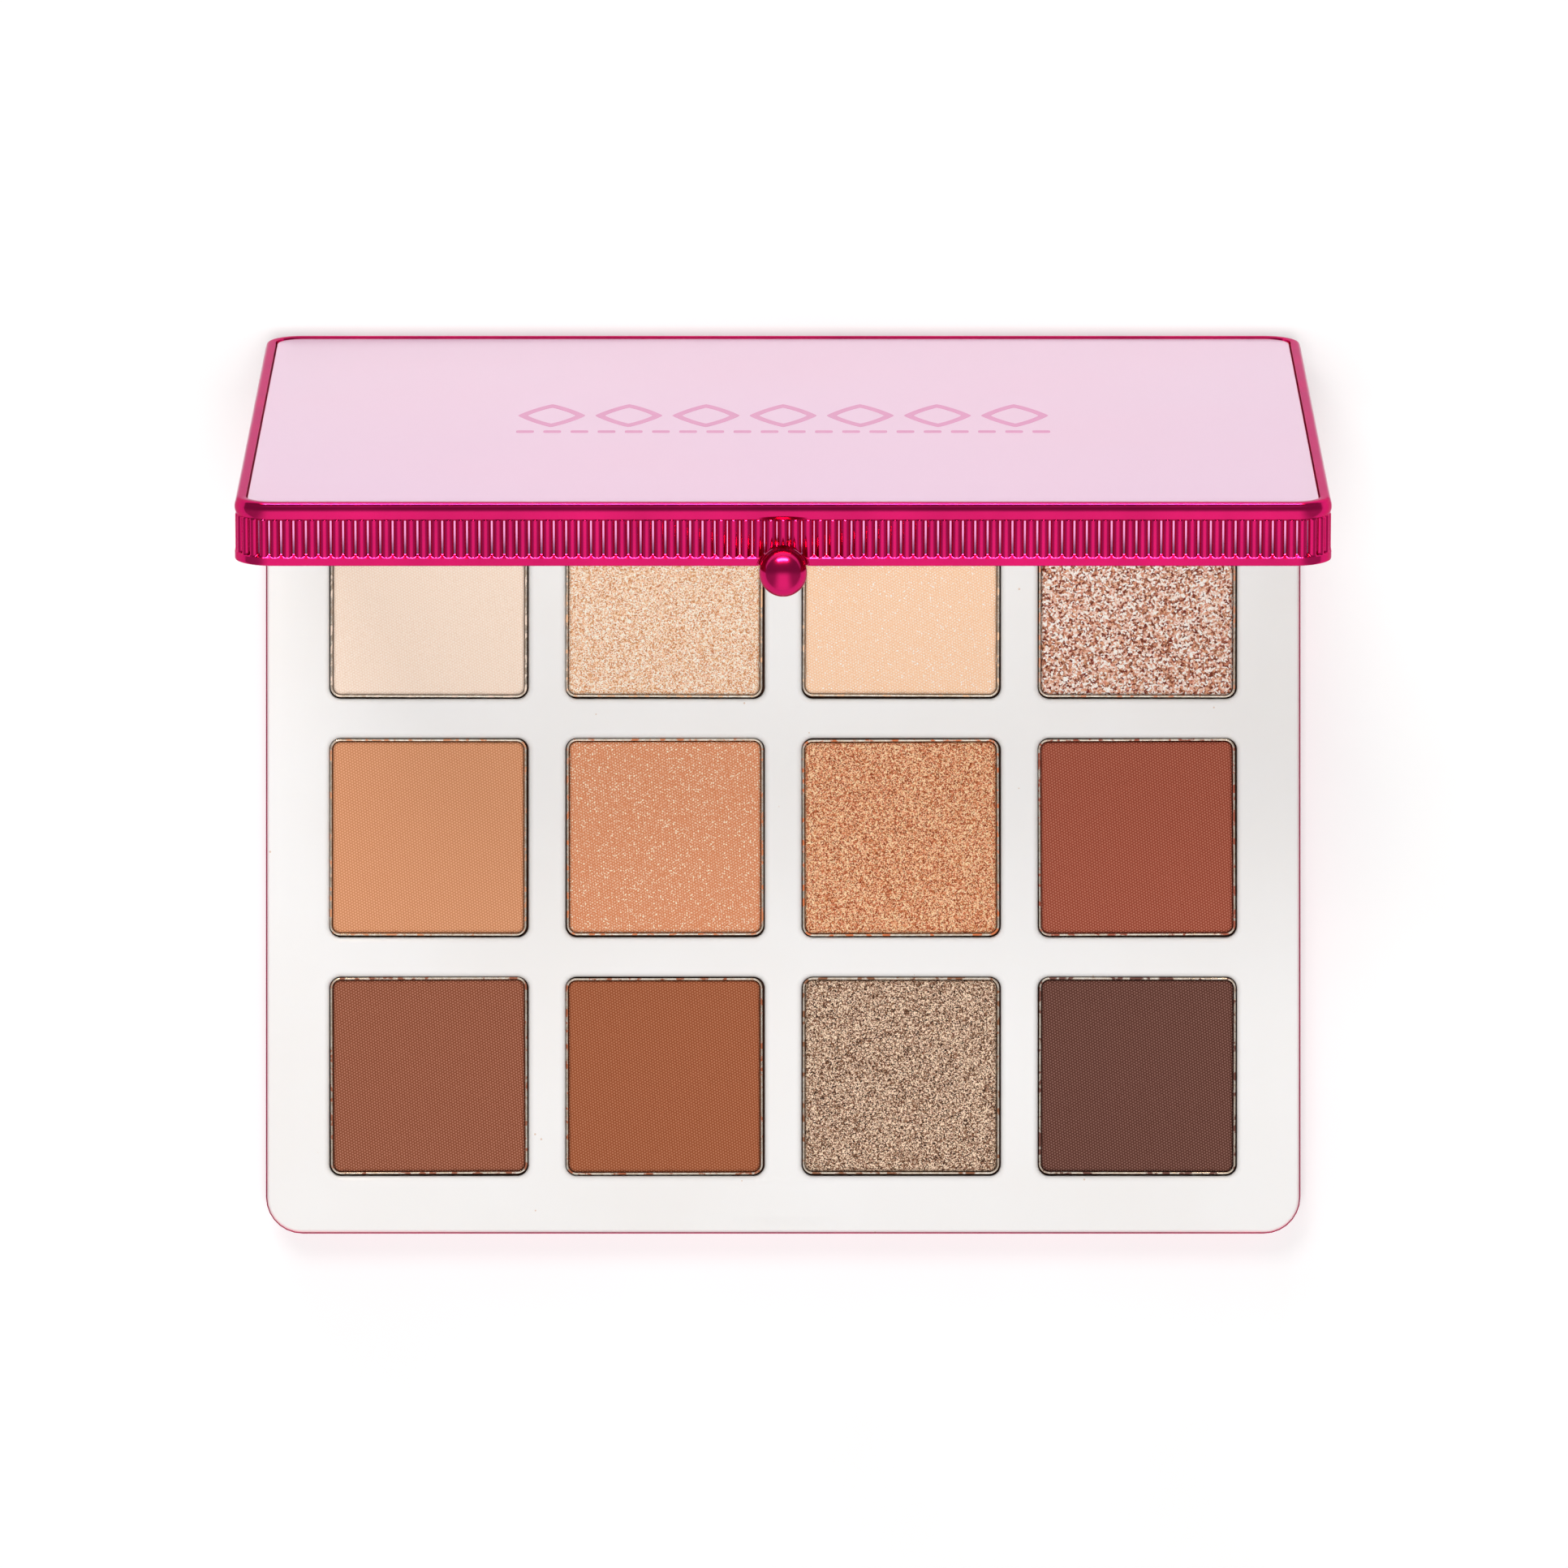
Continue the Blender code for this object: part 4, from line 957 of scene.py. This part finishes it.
def cakeSurface(number, rough):
    # A square grid, crowded at its edges, drawn in to a rounded square. Height falls off as a quarter circle
    # within the shoulder, with slow unevenness, and the edge crumbles in and out a little.
    half = pan["half"] - pan["wall"] - cake["gap"]
    radius = pan["radius"] - pan["wall"] - cake["gap"]
    t = np.linspace(-1.0, 1.0, cake["fine"])
    spread = half * np.sign(t) * (1 - (1 - np.abs(t)) ** 1.35)
    gx, gy = np.meshgrid(spread, spread, indexing="xy")
    qx, qy = np.maximum(np.abs(gx) - (half - radius), 0.0), np.maximum(np.abs(gy) - (half - radius), 0.0)
    away = np.hypot(qx, qy)
    shrink = np.where((qx > 0) & (qy > 0) & (away > 1e-9), np.maximum(qx, qy) / np.maximum(away, 1e-9), 1.0)
    px = np.sign(gx) * (np.minimum(np.abs(gx), half - radius) + qx * shrink)
    py = np.sign(gy) * (np.minimum(np.abs(gy), half - radius) + qy * shrink)
    inside = np.minimum(half - np.abs(gx), half - np.abs(gy))
    crumble = cake["crumble"] * noiseField(px, py, number, 2.2, 4)
    d = np.clip((inside - np.maximum(crumble, 0.0)) / cake["round"], 0.0, 1.0)
    z = cake["top"] - cake["round"] * (1 - np.sqrt(1 - (1 - d) ** 2))
    z = z + 0.03 * noiseField(px, py, number + 50, 14.0, 2)
    z = z + rough * noiseField(px, py, number + 90, 0.9, 3) * d
    n = cake["fine"]
    top = np.column_stack([px.ravel(), py.ravel(), np.minimum(z.ravel(), cake["top"] + 0.12)])
    ids = np.arange(n * n).reshape(n, n)
    rim = np.concatenate([ids[0, :-1], ids[:-1, -1], ids[-1, :0:-1], ids[:0:-1, 0]])
    foot = top[rim].copy()
    foot[:, 2] = cake["bottom"]
    count = len(rim)
    below = n * n + np.arange(count)
    skirt = np.column_stack([rim, below, np.roll(below, -1), np.roll(rim, -1)])
    return np.concatenate([top, foot]), [gridFaces(n, n), skirt, below[None, ::-1]]


for name, x, y, turn, number in panPlaces():
    finish = shades[name][0]
    points, faces = cakeSurface(number, cake["rough"].get(finish, cake["smooth"]))
    powder = flakedPowder if finish in cake["rough"] else pressedPowder
    look = powder("pressedPowder_" + name, powderLook, shades[name])
    made = buildPiece("cake_" + name + "_fine", placed(points, x, y, turn), faces, look, 60.0)
    settle(made, "cake_" + name, "base")
print("stage: cakes")


lip = {"thick": 0.25, "shown": 0.07, "root": 6.3}


def thinnedLip(piece):
    # The lip's inner face moves out to the tray's edge: each of its points goes along the outline's normal.
    mesh = piece.data
    flat = np.empty(len(mesh.vertices) * 3, np.float32)
    mesh.vertices.foreach_get("co", flat)
    points = flat.reshape(-1, 3).astype(float) / mm
    onLip = (np.abs(caseInset(points) - lip["thick"]) < 0.03) & (points[:, 2] > lip["root"])
    step = 0.01
    slopeX = caseInset(points + [step, 0, 0]) - caseInset(points - [step, 0, 0])
    slopeY = caseInset(points + [0, step, 0]) - caseInset(points - [0, step, 0])
    normal = -np.column_stack([slopeX, slopeY]) / np.maximum(np.hypot(slopeX, slopeY), 1e-9)[:, None]
    points[onLip, :2] += normal[onLip] * (lip["thick"] - lip["shown"])
    mesh.vertices.foreach_set("co", (points * mm).astype(np.float32).ravel())
    mesh.update()


baseShell = refined("base_shell", metallisedPlastic("metallisedMagentaBase", metalLook), dissolve=False)
thinnedLip(baseShell)
settle(baseShell, "base_shell", "base")

# The liner and the tape sit in no gaps, so the heights of their painted gap shade lie below everything.
cleanLook = dict(trayLook, gapShadeFrom=-9.0, gapShadeTo=-9.4)
liner = refined("lid_liner", whiteMoulding("satinWhiteLiner", dict(cleanLook, dustSpacing=6.0)))
settle(liner, "lid_liner", "lid")


def silvered(name, look):
    # Float glass silvered on its back: near-perfect reflection with a faint cool tint and light finger haze.
    made, add, shader, _ = newMaterial(name)
    haze = add("TexNoise", {"Detail": 3.0}, every=look["hazeSize"])["Fac"]
    silver = [(0.3, look["silver"]), (0.8, look["silverDull"])]
    fill(shader, {
        "Base Color": add("ValToRGB", {0: haze}, silver)[0],
        "Metallic": 1.0,
        "Roughness": add("ValToRGB", {0: haze}, [(0.4, 0.0), (0.75, look["haze"])])[0],
    })
    return made


def plainMetal(name, light, dark, roughness, streakSize=0.4):
    # Small hardware: drawn or plated metal with streaks that catch the light, coarser than real ones to show.
    made, add, shader, _ = newMaterial(name)
    streak = add("TexNoise", {"Detail": 3.0}, every=streakSize)["Fac"]
    fill(shader, {
        "Base Color": add("ValToRGB", {0: streak}, [(0.3, dark), (0.7, light)])[0],
        "Metallic": 1.0,
        "Roughness": add("ValToRGB", {0: streak}, [(0.3, roughness * 1.2), (0.7, roughness * 0.8)])[0],
    })
    return made


def repaint(node, look):
    # A CAD node keeps its own mesh and takes a finished material.
    mesh = frame["nodes"][node].data
    mesh.materials.clear()
    mesh.materials.append(look)


mirrorLook = {"silver": "#eef2f1", "silverDull": "#e8eeee", "haze": 0.045, "hazeSize": 22.0}
repaint("mirror", silvered("silveredFloatGlass", mirrorLook))
repaint("mirror_tape", whiteMoulding("closedCellFoamTape", dict(cleanLook, roughness=0.85, dustSpacing=9.0)))
nickel = plainMetal("nickelPlatedMagnet", "#cfcac0", "#a9a49b", 0.28)
repaint("base_magnet", nickel)
repaint("lid_magnet", nickel)
steel = plainMetal("drawnSteelPin", "#c6c7c9", "#9b9c9f", 0.3)
repaint("hinge_pin_left", steel)
repaint("hinge_pin_right", steel)
print("stage: small parts")


stageLook = {
    "floor": "#c6c6c6",
    "floorPale": "#cacaca",
    "floorGlow": 0.44,
    "floorSize": 3.0,
    "cloudSize": 40.0,
    "aim": (0.0, 0.0, 0.04),
    "key": {"at": (0.0, -0.24, 2.3), "size": (0.5, 0.45), "power": 32.8},
    "fill": {"at": (-0.35, 0.8, 1.95), "size": (0.6, 0.6), "power": 9.5},
    "low": {"at": (-0.2, 1.6, 0.4), "size": (1.0, 0.5), "power": 9.0},
    "strip": {"at": (-0.05, 1.25, 0.6), "size": (1.0, 0.26), "power": 40.0, "colour": "#ffe0b4"},
    "sky": "#fffdfb",
    "skyHigh": 1.2,
    "skyLow": 0.26,
    "skySide": 0.22,
    "skyFoot": 0.9,
    "skyShare": 0.27,
}


def paperFloor(look):
    # A sheet of white paper with light coming through it, so that shadows on it stay faint.
    made, add, shader, _ = newMaterial("backlitWhitePaper")
    cloud = add("TexNoise", {"Detail": 3.0}, every=look["cloudSize"])["Fac"]
    fill(shader, {
        "Base Color": add("ValToRGB", {0: cloud}, [(0.3, look["floorPale"]), (0.7, look["floor"])])[0],
        "Roughness": 0.9,
        "Specular IOR Level": 0.2,
        "Emission Color": (1.0, 1.0, 1.0, 1.0),
        "Emission Strength": look["floorGlow"],
    })
    half = look["floorSize"] / 2 / mm
    corners = np.array([[-half, -half, 0], [half, -half, 0], [half, half, 0], [-half, half, 0]], float)
    corners[:, 2] = -0.02
    buildPiece("paperFloor", corners, [np.array([[0, 1, 2, 3]])], made)


def softLight(name, light, diffuse=True, mirrored=True):
    # A rectangular panel aimed at the palette, which may light matte faces, show in shiny ones, or both.
    data = bpy.data.lights.new(name, "AREA")
    data.shape = "RECTANGLE"
    data.size, data.size_y = light["size"]
    data.energy = light["power"]
    data.color = toLinear(light.get("colour", "#ffffff"))[:3]
    lamp = bpy.data.objects.new(name, data)
    lamp.location = light["at"]
    lamp.rotation_euler = (Vector(stageLook["aim"]) - lamp.location).to_track_quat("-Z", "Y").to_euler()
    lamp.visible_diffuse = diffuse
    lamp.visible_glossy = mirrored
    bpy.context.scene.collection.objects.link(lamp)


def studioSky(look):
    # Soft surroundings: bright over the front, dim behind, and less bright to either side and low down.
    world = bpy.data.worlds.new("studio")
    bpy.context.scene.world = world
    world.use_nodes = True
    add = partial(addNode, world.node_tree)
    toward = add("SeparateXYZ", {0: add("TexCoord")["Generated"]})
    sideways = add("Math", {0: toward["X"]}, operation="ABSOLUTE")[0]
    lit = look["skyHigh"] - look["skyLow"]
    for along, start, end, before, after in (
        (toward["Y"], 0.18, -0.3, 0.0, 1.0),
        (sideways, 0.2, 0.75, 1.0, look["skySide"]),
        (toward["Z"], 0.12, 0.5, look["skyFoot"], 1.0),
    ):
        span = {"Value": along, "From Min": start, "From Max": end, "To Min": before, "To Max": after}
        share = add("MapRange", span, interpolation_type="SMOOTHSTEP")[0]
        lit = add("Math", {0: lit, 1: share}, operation="MULTIPLY")[0]
    lit = add("Math", {0: lit, 1: look["skyLow"]}, operation="ADD")[0]
    matte = add("LightPath")["Is Diffuse Ray"]
    dimmed = add("Math", {0: matte, 1: look["skyShare"] - 1, 2: 1.0}, operation="MULTIPLY_ADD")[0]
    level = add("Math", {0: lit, 1: dimmed}, operation="MULTIPLY")[0]
    fill(world.node_tree.nodes["Background"], {"Color": toLinear(look["sky"]), "Strength": level})


paperFloor(stageLook)
softLight("overheadKey", stageLook["key"], mirrored=False)
softLight("rearFill", stageLook["fill"], mirrored=False)
softLight("rearLow", stageLook["low"], mirrored=False)
softLight("rearStrip", stageLook["strip"], diffuse=False)
studioSky(stageLook)


# The camera looks straight down, with its field stated as the width seen at the deck's height.
view = {"height": 1.62, "x": 0.0001, "y": 0.0044, "fieldAtDeck": 0.1925, "deck": 0.008, "sensor": 36.0}
cameraData = bpy.data.cameras.new("camera")
cameraData.sensor_width = view["sensor"]
cameraData.lens = view["sensor"] * (view["height"] - view["deck"]) / view["fieldAtDeck"]
camera = bpy.data.objects.new("camera", cameraData)
camera.location = (view["x"], view["y"], view["height"])
bpy.context.scene.collection.objects.link(camera)
bpy.context.scene.camera = camera
bpy.context.scene.view_settings.view_transform = "Standard"
print("stage: lights and camera")
